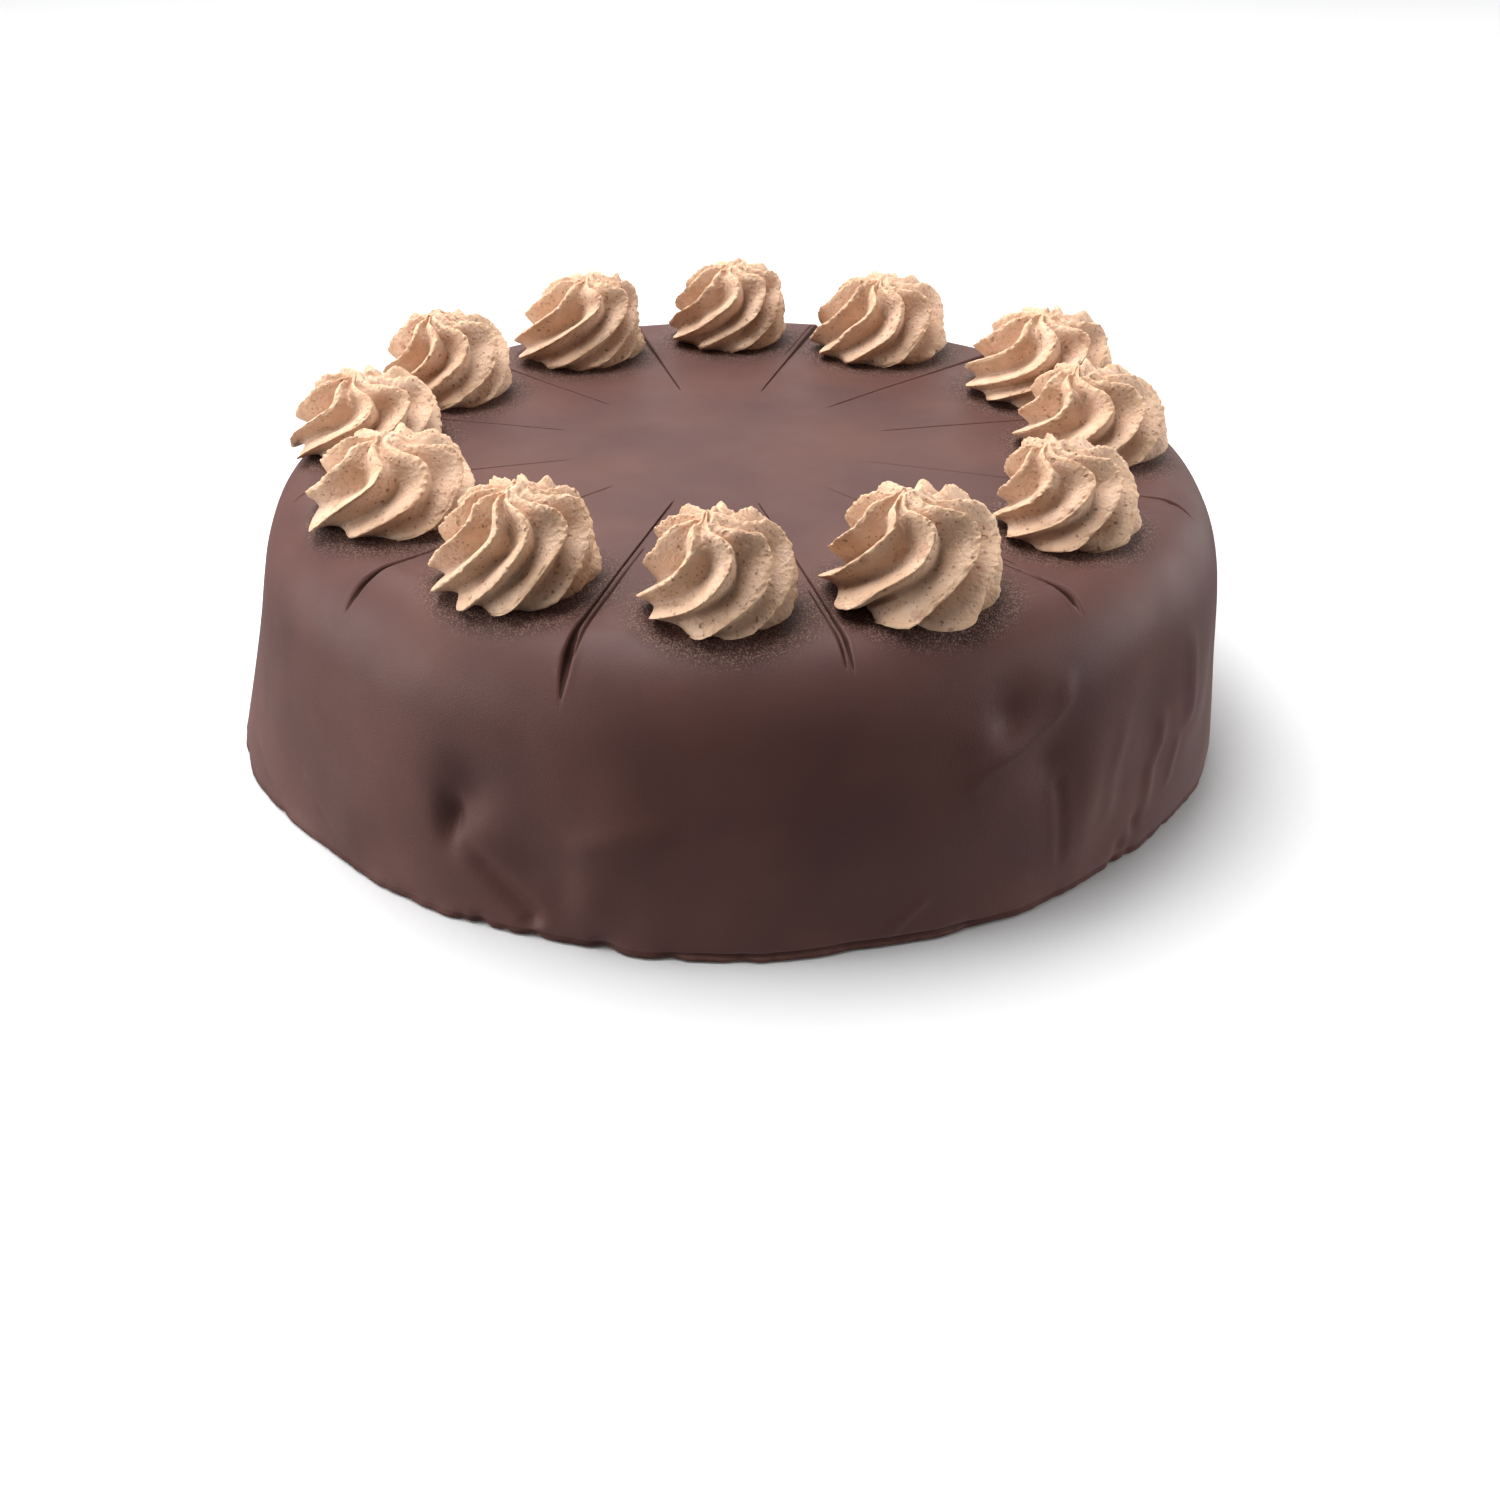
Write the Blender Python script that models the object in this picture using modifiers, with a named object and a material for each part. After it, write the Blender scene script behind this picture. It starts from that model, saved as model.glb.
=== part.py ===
"""Chestnut cake: a round torte under smooth dark chocolate, scored into twelve portions, with one piped
rosette of chestnut cream on each.

Metres, +Z up. The origin is on the underside, on the axis of the cake's round foot. Angles are in
degrees, from +X towards +Y, and the front of the cake faces -Y.
"""

import math
import random
from typing import NamedTuple

import bmesh
import bpy
from mathutils import Vector, noise

MM = 0.001
PORTIONS = 12
PORTION_ANGLE = 360.0 / PORTIONS

# The cake: its side narrows from the foot to the shoulder, and a broad rounded edge runs on to the top.
CAKE_HEIGHT = 71.3 * MM
FOOT_RADIUS = 125.2 * MM
FOOT_BEVEL = 1.2 * MM
SHOULDER_RADIUS = 118.7 * MM
SHOULDER_HEIGHT = 43.5 * MM
EDGE_WIDTH = 17.0 * MM
TOP_CROWN = 1.3 * MM  # how far the middle of the top stands above its rim
TOP_SHIFT = 4.1 * MM  # the top sits this far to +X of the foot
TOP_RADIUS = SHOULDER_RADIUS - EDGE_WIDTH
RIM_HEIGHT = CAKE_HEIGHT - TOP_CROWN

COLUMNS = 8 * PORTIONS
TOP_RINGS = (0.35, 0.72)  # shares of the top's radius
EDGE_STEPS = 7
SIDE_STEPS = 5

# The wavering of the chocolate coat.
WAVE_SIZE = 42.0 * MM
WAVE_DEPTH = 1.1 * MM

# The score marks, pressed in by a portion marker that stood a little off the cake's middle.
SCORE_CENTRE = Vector((-2.1, 1.2, 0.0)) * MM
SCORE_TURN = 14.2  # the first mark's direction
SCORE_START = 37.0 * MM
SCORE_ENDS = (111, 110, 112, 112, 111, 110, 110, 116, 117, 114, 110, 111)  # mm from the middle of the top
SCORE_CUTS = 5
SCORE_PEAK = 0.86  # share of its length at which a mark is widest
SCORE_THIN = (0.35 * MM, 0.5 * MM)  # half width and depth of the fine inner line
SCORE_WIDE = (1.15 * MM, 1.7 * MM)  # and of the outer slit
SCORE_REACH = 1.0 * MM  # the cutter stands this far above the surface

# The rosettes, on a ring of their own.
RING_CENTRE = Vector((0.8, -1.2, 0.0)) * MM
RING_RADIUS = 89.0 * MM
RING_TURN = -1.0
REST_GAP = 0.3 * MM
SETTLE = 0.75  # how far its underside follows the cake down where the edge rounds off
BED_RING = 0.6  # a ring of the underside, over the radius where it meets the cake
ROSETTE_RINGS = 16
COLUMNS_PER_RIDGE = 3
TUCK_SHARE = 0.08  # share of the way up the surface from where it meets the cake to its widest ring
WAIST_SHARE = 0.13  # height of the widest ring over the rosette's height
CONTACT_TUCK = 0.18  # how far its underside draws in, over its radius
CROWN_SHARE = 0.94  # the crown's height without its nib
DOME_POWER = 0.70  # the smaller, the fuller the shoulder
LOPSIDED = 0.16  # and how much fuller it is towards +X, the way the piping hand moved
RIDGE_SHARE = 0.16  # half a ridge's width over its distance to the next
RIDGE_POWER = 1.4
VALLEY_DEPTH = 0.31  # over the rosette's radius
VALLEY_FADE = 2.4
FOOT_CLOSED = 0.25  # the valleys' depth where the rosette meets the cake, over their full depth
FOOT_SWEEP = 0.06  # how much further the ridges' feet reach towards -X
WIDTH_SPREAD = 0.15  # the ridges stand this much nearer and farther apart than evenly
REACH_SPREAD = 0.06  # and reach this much more and less
DEPTH_SPREAD = 0.15
TWIST_EASE = 1.4
TWIST_TOP = 0.82  # share of the height at which the twist ends, in a knee
CROWN_CURL = 10.0


class Relief(NamedTuple):
    """A soft swelling (or, below zero, a hollow) in the coat of the side."""

    angle: float
    height: float
    spread: float  # degrees
    rise: float
    amount: float


COAT_RELIEF = (
    # The foot: drawn in all along the front, where the side is upright, and fuller at the left and right.
    Relief(-136, 0.0, 20.0, 30 * MM, -6.2 * MM),
    Relief(-105, 0.0, 16.0, 28 * MM, -6.4 * MM),
    Relief(-74, 0.0, 20.0, 28 * MM, -6.4 * MM),
    Relief(-46, 0.0, 13.0, 28 * MM, -4.2 * MM),
    Relief(-27, 0.0, 10.0, 26 * MM, -1.5 * MM),
    Relief(62, 0.0, 20.0, 26 * MM, -2.4 * MM),
    Relief(118, 0.0, 22.0, 26 * MM, -2.6 * MM),
    # A deep dimple at the front left, with a furrow and a swelling beside it.
    Relief(-119, 32 * MM, 3.4, 9 * MM, -2.8 * MM),
    Relief(-111, 20 * MM, 4.0, 8 * MM, -1.4 * MM),
    Relief(-103, 27 * MM, 5.0, 12 * MM, 1.8 * MM),
    Relief(-137, 12 * MM, 4.0, 11 * MM, 1.1 * MM),
    # Puckers and upright folds at the front right.
    Relief(-61, 55 * MM, 3.4, 6 * MM, -1.5 * MM),
    Relief(-63, 41 * MM, 4.0, 8 * MM, 1.2 * MM),
    Relief(-55, 38 * MM, 3.4, 9 * MM, -1.7 * MM),
    Relief(-49, 22 * MM, 4.0, 16 * MM, 1.2 * MM),
    Relief(-38, 38 * MM, 4.0, 14 * MM, -1.0 * MM),
    Relief(-27, 34 * MM, 5.0, 16 * MM, 0.9 * MM),
)


class Rosette(NamedTuple):
    """One piped rosette: how it stands off its even place on the ring, and its own form."""

    turn: float  # degrees round the ring
    out: float  # outwards from the ring
    radius: float
    height: float
    ridges: int
    first_foot: float  # the direction in which one ridge's foot points
    twist: float  # degrees, from a ridge's foot to its knee
    lean: float  # how far its crown stands to +X


ROSETTES = (
    Rosette(+3.2, +2.2 * MM, 18.5 * MM, 22.4 * MM, 9, -65.0, 85.0, -5.5 * MM),
    Rosette(-0.6, +5.4 * MM, 19.8 * MM, 23.4 * MM, 9, -130.0, 105.0, +0.8 * MM),
    Rosette(+2.4, -0.5 * MM, 18.8 * MM, 22.6 * MM, 10, -80.0, 60.0, +0.8 * MM),
    Rosette(+1.0, -1.0 * MM, 16.5 * MM, 23.8 * MM, 9, -110.0, 90.0, +2.2 * MM),
    Rosette(+0.5, -5.5 * MM, 17.3 * MM, 24.5 * MM, 9, -105.0, 100.0, +4.5 * MM),
    Rosette(+1.0, -4.0 * MM, 17.0 * MM, 23.6 * MM, 9, -80.0, 90.0, -2.5 * MM),
    Rosette(-4.0, +1.3 * MM, 18.6 * MM, 19.2 * MM, 9, -103.0, 90.0, -0.5 * MM),
    Rosette(-2.0, -3.3 * MM, 19.4 * MM, 21.0 * MM, 8, -152.0, 80.0, -0.4 * MM),
    Rosette(+0.8, -0.4 * MM, 18.2 * MM, 24.6 * MM, 11, -125.0, 70.0, +0.6 * MM),
    Rosette(+0.8, +1.5 * MM, 17.2 * MM, 25.0 * MM, 9, -105.0, 95.0, -5.3 * MM),
    Rosette(-2.6, +1.8 * MM, 18.9 * MM, 26.2 * MM, 9, -146.0, 90.0, -2.2 * MM),
    Rosette(+0.0, +1.0 * MM, 16.6 * MM, 22.5 * MM, 9, -140.0, 95.0, -5.2 * MM),
)


def bell(offset: float, width: float) -> float:
    """A smooth hump of height 1 that falls away over the width."""
    return math.exp(-((offset / width) ** 2))


def angle_between(first: float, second: float) -> float:
    """The signed angle from the second direction to the first, within half a turn."""
    return (first - second + 180.0) % 360.0 - 180.0


def top_shift(height: float) -> float:
    """How far the cake's section at this height stands to +X of its foot."""
    return TOP_SHIFT * math.sin(math.pi / 2 * min(1.0, max(0.0, height / CAKE_HEIGHT)))


def top_height(radius: float) -> float:
    """Height of the even cake's upper surface at this distance from the middle of its top."""
    if radius <= TOP_RADIUS:
        return CAKE_HEIGHT - TOP_CROWN * (radius / TOP_RADIUS) ** 2
    across = min(1.0, (radius - TOP_RADIUS) / EDGE_WIDTH)
    return SHOULDER_HEIGHT + (RIM_HEIGHT - SHOULDER_HEIGHT) * math.sqrt(1.0 - across**2)


def surface_height(x: float, y: float) -> float:
    """Height of the cake's upper surface over a point of the plan."""
    return top_height(math.hypot(x - TOP_SHIFT, y))


def coat_swell(angle: float, height: float) -> float:
    """How far the coat of the side stands out, at this direction and height, from the even cake."""
    swell = WAVE_DEPTH * noise.noise(
        Vector((math.cos(math.radians(angle)), math.sin(math.radians(angle)), 0.0))
        * (SHOULDER_RADIUS / WAVE_SIZE)
        + Vector((0.0, 0.0, height / WAVE_SIZE))
    )
    for form in COAT_RELIEF:
        swell += (
            form.amount
            * bell(angle_between(angle, form.angle), form.spread)
            * bell(height - form.height, form.rise)
        )
    return swell


def cake_profile() -> list[Vector]:
    """The turned outline, from the middle of the top down the outside to the middle of the underside."""
    points = [Vector((0.0, 0.0, CAKE_HEIGHT))]
    points += [
        Vector((share * TOP_RADIUS, 0.0, top_height(share * TOP_RADIUS))) for share in TOP_RINGS
    ]
    for step in range(EDGE_STEPS + 1):
        lift = math.radians(90.0 * step / EDGE_STEPS)
        across = TOP_RADIUS + EDGE_WIDTH * math.sin(lift)
        up = SHOULDER_HEIGHT + (RIM_HEIGHT - SHOULDER_HEIGHT) * math.cos(lift)
        points.append(Vector((across, 0.0, up)))
    for step in range(1, SIDE_STEPS + 1):
        share = step / SIDE_STEPS
        across = SHOULDER_RADIUS + (FOOT_RADIUS - SHOULDER_RADIUS) * share
        up = SHOULDER_HEIGHT + (FOOT_BEVEL - SHOULDER_HEIGHT) * share
        points.append(Vector((across, 0.0, up)))
    points.append(Vector((FOOT_RADIUS - FOOT_BEVEL, 0.0, 0.0)))
    points.append(Vector((0.0, 0.0, 0.0)))
    return points


def turned_mesh(name: str, profile: list[Vector], columns: int) -> bpy.types.Mesh:
    """The closed mesh that the profile sweeps out round Z."""
    line = bpy.data.meshes.new(name + "_profile")
    line.from_pydata(profile, [(i, i + 1) for i in range(len(profile) - 1)], [])
    guide = bpy.data.objects.new(name + "_profile", line)
    bpy.context.scene.collection.objects.link(guide)
    screw = guide.modifiers.new("turn", "SCREW")
    screw.steps = screw.render_steps = columns
    screw.use_merge_vertices = True
    screw.merge_threshold = 0.01 * MM
    graph = bpy.context.evaluated_depsgraph_get()
    mesh = bpy.data.meshes.new_from_object(guide.evaluated_get(graph))
    mesh.name = name
    bpy.data.objects.remove(guide)
    bpy.data.meshes.remove(line)
    return mesh


def lay_coat(mesh: bpy.types.Mesh) -> None:
    """Moves the turned mesh's points out and in with the coat, and its top over to +X."""
    for vertex in mesh.vertices:
        across, height = math.hypot(vertex.co.x, vertex.co.y), vertex.co.z
        if across > TOP_RADIUS:
            angle = math.degrees(math.atan2(vertex.co.y, vertex.co.x))
            edge_share = min(1.0, (across - TOP_RADIUS) / EDGE_WIDTH)
            wider = 1.0 + edge_share * coat_swell(angle, height) / across
            vertex.co.x *= wider
            vertex.co.y *= wider
        vertex.co.x += top_shift(height)


def score_section(share: float) -> tuple[float, float]:
    """Half width and depth of a score mark at this share of its length."""
    if share < SCORE_PEAK:
        swell = (share / SCORE_PEAK) ** 4
        start = min(1.0, 0.4 + 6.0 * share)
    else:
        swell = 1.0 - ((share - SCORE_PEAK) / (1.0 - SCORE_PEAK)) ** 2 * 0.9
        start = 1.0
    return tuple(start * thin + swell * (wide - thin) for thin, wide in zip(SCORE_THIN, SCORE_WIDE))


def score_length(outwards: Vector, end: float) -> float:
    """How far a mark runs from the marks' centre until it is this far from the middle of the top."""
    offset = SCORE_CENTRE - Vector((TOP_SHIFT, 0.0, 0.0))
    along = offset.dot(outwards)
    return math.sqrt(along**2 - offset.length_squared + end**2) - along


def score_cutter(name: str, direction: float, end: float) -> bpy.types.Object:
    """A blade that follows the cake's surface outwards: a three-sided bar, cut across and bent over the edge."""
    blade = bmesh.new()
    bmesh.ops.create_cone(blade, cap_ends=True, segments=3, radius1=1.0, radius2=1.0, depth=1.0)
    long_edges = [e for e in blade.edges if abs(e.verts[0].co.z - e.verts[1].co.z) > 0.5]
    bmesh.ops.subdivide_edges(blade, edges=long_edges, cuts=SCORE_CUTS, use_grid_fill=True)
    outwards = Vector((math.cos(math.radians(direction)), math.sin(math.radians(direction)), 0.0))
    sideways = Vector((-outwards.y, outwards.x, 0.0))
    length = score_length(outwards, end) - SCORE_START
    for vertex in blade.verts:
        share = math.sin(math.pi / 2 * (0.5 + vertex.co.z))
        half_width, depth = score_section(share)
        place = SCORE_CENTRE + outwards * (SCORE_START + length * share)
        place.z = surface_height(place.x, place.y)
        slope = place.z - surface_height(place.x + outwards.x * MM, place.y + outwards.y * MM)
        normal = (outwards * slope + Vector((0.0, 0.0, MM))).normalized()
        if vertex.co.y > 0.0:
            vertex.co = place - normal * depth
        else:
            side = math.copysign(half_width * (depth + SCORE_REACH) / depth, vertex.co.x)
            vertex.co = place + normal * SCORE_REACH - sideways * side
    mesh = bpy.data.meshes.new(name)
    blade.to_mesh(mesh)
    blade.free()
    return bpy.data.objects.new(name, mesh)


def ridge_plan(rosette: Rosette, seed: int) -> list[tuple[float, float, float, float]]:
    """Each ridge of a rosette: its foot's direction, its width to the next, its reach and its depth."""
    draw = random.Random(seed)
    widths = [draw.uniform(1.0 - WIDTH_SPREAD, 1.0 + WIDTH_SPREAD) for _ in range(rosette.ridges)]
    scale = 360.0 / sum(widths)
    direction = rosette.first_foot
    ridges = []
    for width in widths:
        reach = draw.uniform(1.0 - REACH_SPREAD, 1.0 + REACH_SPREAD)
        depth = draw.uniform(1.0 - DEPTH_SPREAD, 1.0 + DEPTH_SPREAD)
        ridges.append((direction, width * scale, reach, depth))
        direction += width * scale
    return ridges


def twist_share(up: float) -> float:
    """Share of the twist that a ridge has made at this share of the rosette's height."""
    return 1.0 - (1.0 - min(1.0, up / TWIST_TOP)) ** TWIST_EASE


def valley_share(phase: float) -> float:
    """Depth between two ridges, from 0 on the ridge's back to 1 at the floor, where phase 0 and 1 are ridges."""
    beside = min(phase, 1.0 - phase) / RIDGE_SHARE
    return 1.0 - math.exp(-(beside**RIDGE_POWER))


def rosette_point(
    rosette: Rosette, ridge: tuple[float, float, float, float], phase: float, share: float
) -> Vector:
    """A point of the rosette's surface about the middle of its foot.

    The phase runs from one ridge to the next. The share runs up the surface, from where the
    rosette meets the cake (0) to the crown (1).
    """
    direction, width, reach, depth = ridge
    waist = WAIST_SHARE * rosette.height
    open_foot = min(1.0, share / TUCK_SHARE)
    lift = math.pi / 2 * max(0.0, share - TUCK_SHARE) / (1.0 - TUCK_SHARE)
    height = waist * open_foot + (CROWN_SHARE * rosette.height - waist) * math.sin(lift)
    up = height / rosette.height

    twist = rosette.twist * (twist_share(up) - twist_share(WAIST_SHARE))
    curl = CROWN_CURL * (2.0 * lift / math.pi) ** 4
    turn = math.radians(direction + width * phase + twist + curl)

    fullness = math.cos(lift) ** (DOME_POWER - LOPSIDED * math.cos(turn))
    tuck = 1.0 - CONTACT_TUCK * (1.0 - open_foot) ** 1.5
    stretch = (reach - FOOT_SWEEP * math.cos(turn) - 1.0) * (1.0 - up)
    sink = VALLEY_DEPTH * rosette.radius * depth * valley_share(phase)
    sink *= FOOT_CLOSED + (1.0 - FOOT_CLOSED) * open_foot
    sink *= 1.0 - (2.0 * lift / math.pi) ** VALLEY_FADE

    radius = rosette.radius * fullness * tuck * (1.0 + stretch) - sink * math.cos(lift)
    across = Vector((math.cos(turn), math.sin(turn), 0.0)) * radius
    return across + Vector((rosette.lean * up**3, 0.0, height - sink * math.sin(lift)))


def rosette_object(name: str, index: int, rosette: Rosette) -> bpy.types.Object:
    """A rosette on its portion: a sphere's mesh, each point of it moved onto the piped form."""
    columns = COLUMNS_PER_RIDGE * rosette.ridges
    shape = bmesh.new()
    bmesh.ops.create_uvsphere(shape, u_segments=columns, v_segments=ROSETTE_RINGS, radius=1.0)
    ring_angle = math.radians(RING_TURN + PORTION_ANGLE * index + rosette.turn)
    centre = RING_CENTRE + (RING_RADIUS + rosette.out) * Vector(
        (math.cos(ring_angle), math.sin(ring_angle), 0.0)
    )
    bed = surface_height(centre.x, centre.y)
    ridges = ridge_plan(rosette, index)
    for vertex in shape.verts:
        ring = round((1.0 - math.acos(max(-1.0, min(1.0, vertex.co.z))) / math.pi) * ROSETTE_RINGS)
        column = round(math.atan2(-vertex.co.x, vertex.co.y) / (2 * math.pi) * columns) % columns
        ridge, phase = divmod(column, COLUMNS_PER_RIDGE)
        share = max(0.0, (ring - 2) / (ROSETTE_RINGS - 2))
        local = rosette_point(rosette, ridges[ridge], phase / COLUMNS_PER_RIDGE, share)
        if ring == 0:
            local = Vector((0.0, 0.0, 0.0))
        elif ring == 1:
            local *= BED_RING
        elif ring == ROSETTE_RINGS:
            local = Vector((rosette.lean, 0.0, rosette.height))
        settle = SETTLE * (surface_height(centre.x + local.x, centre.y + local.y) - bed)
        local.z += settle * (1.0 - local.z / rosette.height) ** 2
        vertex.co = local
    mesh = bpy.data.meshes.new(name)
    shape.to_mesh(mesh)
    shape.free()
    placed = bpy.data.objects.new(name, mesh)
    placed.location = (centre.x, centre.y, bed + REST_GAP)
    return placed


def food_material(name: str, colour: tuple[float, float, float], roughness: float) -> bpy.types.Material:
    """A plain food finish."""
    material = bpy.data.materials.new(name)
    material.use_nodes = True
    shader = material.node_tree.nodes["Principled BSDF"]
    shader.inputs["Base Color"].default_value = (*colour, 1.0)
    shader.inputs["Roughness"].default_value = roughness
    shader.inputs["Metallic"].default_value = 0.0
    return material


def finish(item: bpy.types.Object, material: bpy.types.Material, crease: float) -> None:
    """Gives an object its material, and smooth shading with sharp edges past the crease angle."""
    item.data.materials.clear()
    item.data.materials.append(material)
    item.data.shade_smooth()
    item.data.set_sharp_from_angle(angle=math.radians(crease))


def main() -> None:
    """Builds the cake, its score marks and its rosettes."""
    for item in list(bpy.data.objects):
        bpy.data.objects.remove(item)
    parts = bpy.data.collections.new("chestnut_cake")
    cutters = bpy.data.collections.new("score_cutters")
    for group in (parts, cutters):
        bpy.context.scene.collection.children.link(group)

    chocolate = food_material("dark_chocolate", (0.075, 0.036, 0.028), 0.42)
    cream = food_material("chestnut_cream", (0.52, 0.37, 0.25), 0.6)

    cake = bpy.data.objects.new("cake", turned_mesh("cake", cake_profile(), COLUMNS))
    lay_coat(cake.data)
    finish(cake, chocolate, 35.0)
    parts.objects.link(cake)

    for index, end in enumerate(SCORE_ENDS):
        direction = SCORE_TURN + PORTION_ANGLE * index
        cutter = score_cutter(f"score_cutter_{index + 1:02d}", direction, end * MM)
        cutter.hide_render = True
        cutter.display_type = "WIRE"
        cutters.objects.link(cutter)
    scoring = cake.modifiers.new("score marks", "BOOLEAN")
    scoring.operation = "DIFFERENCE"
    scoring.solver = "EXACT"
    scoring.operand_type = "COLLECTION"
    scoring.collection = cutters

    for index, rosette in enumerate(ROSETTES):
        piped = rosette_object(f"rosette_{index + 1:02d}", index, rosette)
        finish(piped, cream, 60.0)
        parts.objects.link(piped)


main()
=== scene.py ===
"""Looks of the chestnut cake: a dark chocolate coat with pressed score marks, and twelve piped rosettes.

Metres, +Z up. The front of the cake faces -Y. Angles are in degrees, from +X towards +Y.
"""

import logging
import math
import random
from dataclasses import dataclass, field
from enum import Enum

import bmesh
import bpy
import numpy as np
from mathutils import Matrix, Vector, noise

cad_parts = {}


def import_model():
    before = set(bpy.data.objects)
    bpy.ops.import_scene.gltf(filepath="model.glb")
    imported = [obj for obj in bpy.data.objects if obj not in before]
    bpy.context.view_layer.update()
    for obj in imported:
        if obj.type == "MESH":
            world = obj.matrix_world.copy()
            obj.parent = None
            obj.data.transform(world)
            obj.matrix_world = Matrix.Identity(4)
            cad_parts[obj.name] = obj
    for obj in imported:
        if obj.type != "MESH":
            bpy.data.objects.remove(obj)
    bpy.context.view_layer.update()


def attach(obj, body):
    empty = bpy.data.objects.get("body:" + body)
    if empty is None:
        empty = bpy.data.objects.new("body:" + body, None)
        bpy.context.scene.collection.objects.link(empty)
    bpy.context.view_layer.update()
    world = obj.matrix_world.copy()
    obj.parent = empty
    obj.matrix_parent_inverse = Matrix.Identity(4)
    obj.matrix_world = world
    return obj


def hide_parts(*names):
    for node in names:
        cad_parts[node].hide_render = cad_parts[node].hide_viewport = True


LOG = logging.getLogger("chestnut_cake")
MM = 0.001
PORTIONS = 12
PORTION_ANGLE = 360.0 / PORTIONS
SEAM = 1e-5  # distance within which a new ball's doubled points are merged
BESIDE = 1.9  # how far beside a pressed line the coat stands up, in widths of the line
Triple = tuple[float, float, float]
Colour = tuple[float, float, float, float]
Socket = bpy.types.NodeSocket


class Slot(Enum):
    """The record's material slots."""

    CHOCOLATE = "dark_chocolate"
    CREAM = "chestnut_cream"


def bell(offset: np.ndarray, width: float) -> np.ndarray:
    """A smooth hump of height 1.

    Args:
        offset: Distances from the hump's middle.
        width: Distance at which the hump has fallen to about a third.

    Returns:
        The hump's height at each distance.
    """
    return np.exp(-((offset / width) ** 2))


def angle_between(first: np.ndarray, second: float) -> np.ndarray:
    """The signed angle from the second direction to the first, within half a turn."""
    return (first - second + 180.0) % 360.0 - 180.0


def eased(value: np.ndarray, low: float, high: float) -> np.ndarray:
    """A smooth step.

    Args:
        value: What the step runs over.
        low: Where it starts, at 0.
        high: Where it ends, at 1.

    Returns:
        The step's height at each value.
    """
    share = np.clip((value - low) / (high - low), 0.0, 1.0)
    return share * share * (3.0 - 2.0 * share)


def noise_over(points: np.ndarray, size: float, shift: float = 0.0) -> np.ndarray:
    """Smooth noise between about -1 and 1.

    Args:
        points: Places, one row each.
        size: Rough distance from one hump to the next.
        shift: Moves the pattern, so that two layers differ.

    Returns:
        One value for each place.
    """
    return np.array([noise.noise(place) for place in (points / size + shift).tolist()])


def crowded(within: np.ndarray, strength: float) -> np.ndarray:
    """Draws evenly spaced shares towards both ends of their run.

    Args:
        within: Shares of the run, from 0 to 1.
        strength: From 0, where they stay, to 1.

    Returns:
        The drawn shares.
    """
    return within - strength * np.sin(2.0 * math.pi * within) / (2.0 * math.pi)


def crossing(angle: np.ndarray) -> np.ndarray:
    """Unit directions in the plan, one row for each angle in radians."""
    return np.stack([np.cos(angle), np.sin(angle), np.zeros_like(angle)], axis=1)


@dataclass(frozen=True)
class SphereGrid:
    """A ball's mesh whose points are then moved onto a form, by their ring and column."""

    name: str
    columns: int
    rings: int

    def mesh(self) -> tuple[bpy.types.Mesh, np.ndarray, np.ndarray]:
        """Makes the ball.

        Returns:
            The mesh, and each point's ring (0 at the bottom pole) and column (anticlockwise).
        """
        shape = bmesh.new()
        bmesh.ops.create_grid(shape, x_segments=self.columns, y_segments=self.rings, size=1.0)
        for vert in shape.verts:
            turn, lift = math.pi * vert.co.x, math.pi / 2.0 * vert.co.y
            vert.co = (-math.sin(turn) * math.cos(lift), math.cos(turn) * math.cos(lift), math.sin(lift))
        bmesh.ops.remove_doubles(shape, verts=shape.verts, dist=SEAM)
        bmesh.ops.recalc_face_normals(shape, faces=shape.faces)
        mesh = bpy.data.meshes.new(self.name)
        shape.to_mesh(mesh)
        shape.free()
        places = points_of(mesh)
        lift = np.arccos(np.clip(places[:, 2], -1.0, 1.0)) / math.pi
        turn = np.arctan2(-places[:, 0], places[:, 1]) / (2.0 * math.pi)
        ring = np.rint((1.0 - lift) * self.rings).astype(int)
        column = np.rint(turn * self.columns).astype(int) % self.columns
        return mesh, ring, column


def points_of(mesh: bpy.types.Mesh) -> np.ndarray:
    """Reads the mesh's points.

    Args:
        mesh: The mesh.

    Returns:
        The points' places, one row each.
    """
    places = np.empty(len(mesh.vertices) * 3, np.float32)
    mesh.vertices.foreach_get("co", places)
    return places.reshape(-1, 3).astype(float)


def move_points(mesh: bpy.types.Mesh, places: np.ndarray) -> None:
    """Moves the mesh's points to these places."""
    mesh.vertices.foreach_set("co", places.astype(np.float32).ravel())
    mesh.update()


def write_attribute(mesh: bpy.types.Mesh, name: str, values: np.ndarray) -> None:
    """Gives each point of the mesh a number that its material reads.

    Args:
        mesh: The mesh.
        name: The attribute's name.
        values: One number for each point.
    """
    attribute = mesh.attributes.new(name, "FLOAT", "POINT")
    attribute.data.foreach_set("value", values.astype(np.float32))


def settle_piece(
    mesh: bpy.types.Mesh, node: str, material: bpy.types.Material
) -> bpy.types.Object:
    """Turns a finished mesh into a piece that stands for a solid of the model.

    Args:
        mesh: The mesh, in its place.
        node: The solid that it stands for.
        material: Its finish.

    Returns:
        The new piece.
    """
    mesh.materials.append(material)
    mesh.shade_smooth()
    piece = bpy.data.objects.new(mesh.name, mesh)
    bpy.context.scene.collection.objects.link(piece)
    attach(piece, "root")
    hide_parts(node)
    return piece


# ---------------------------------------------------------------------------------------------------
# The coat's form.


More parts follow.
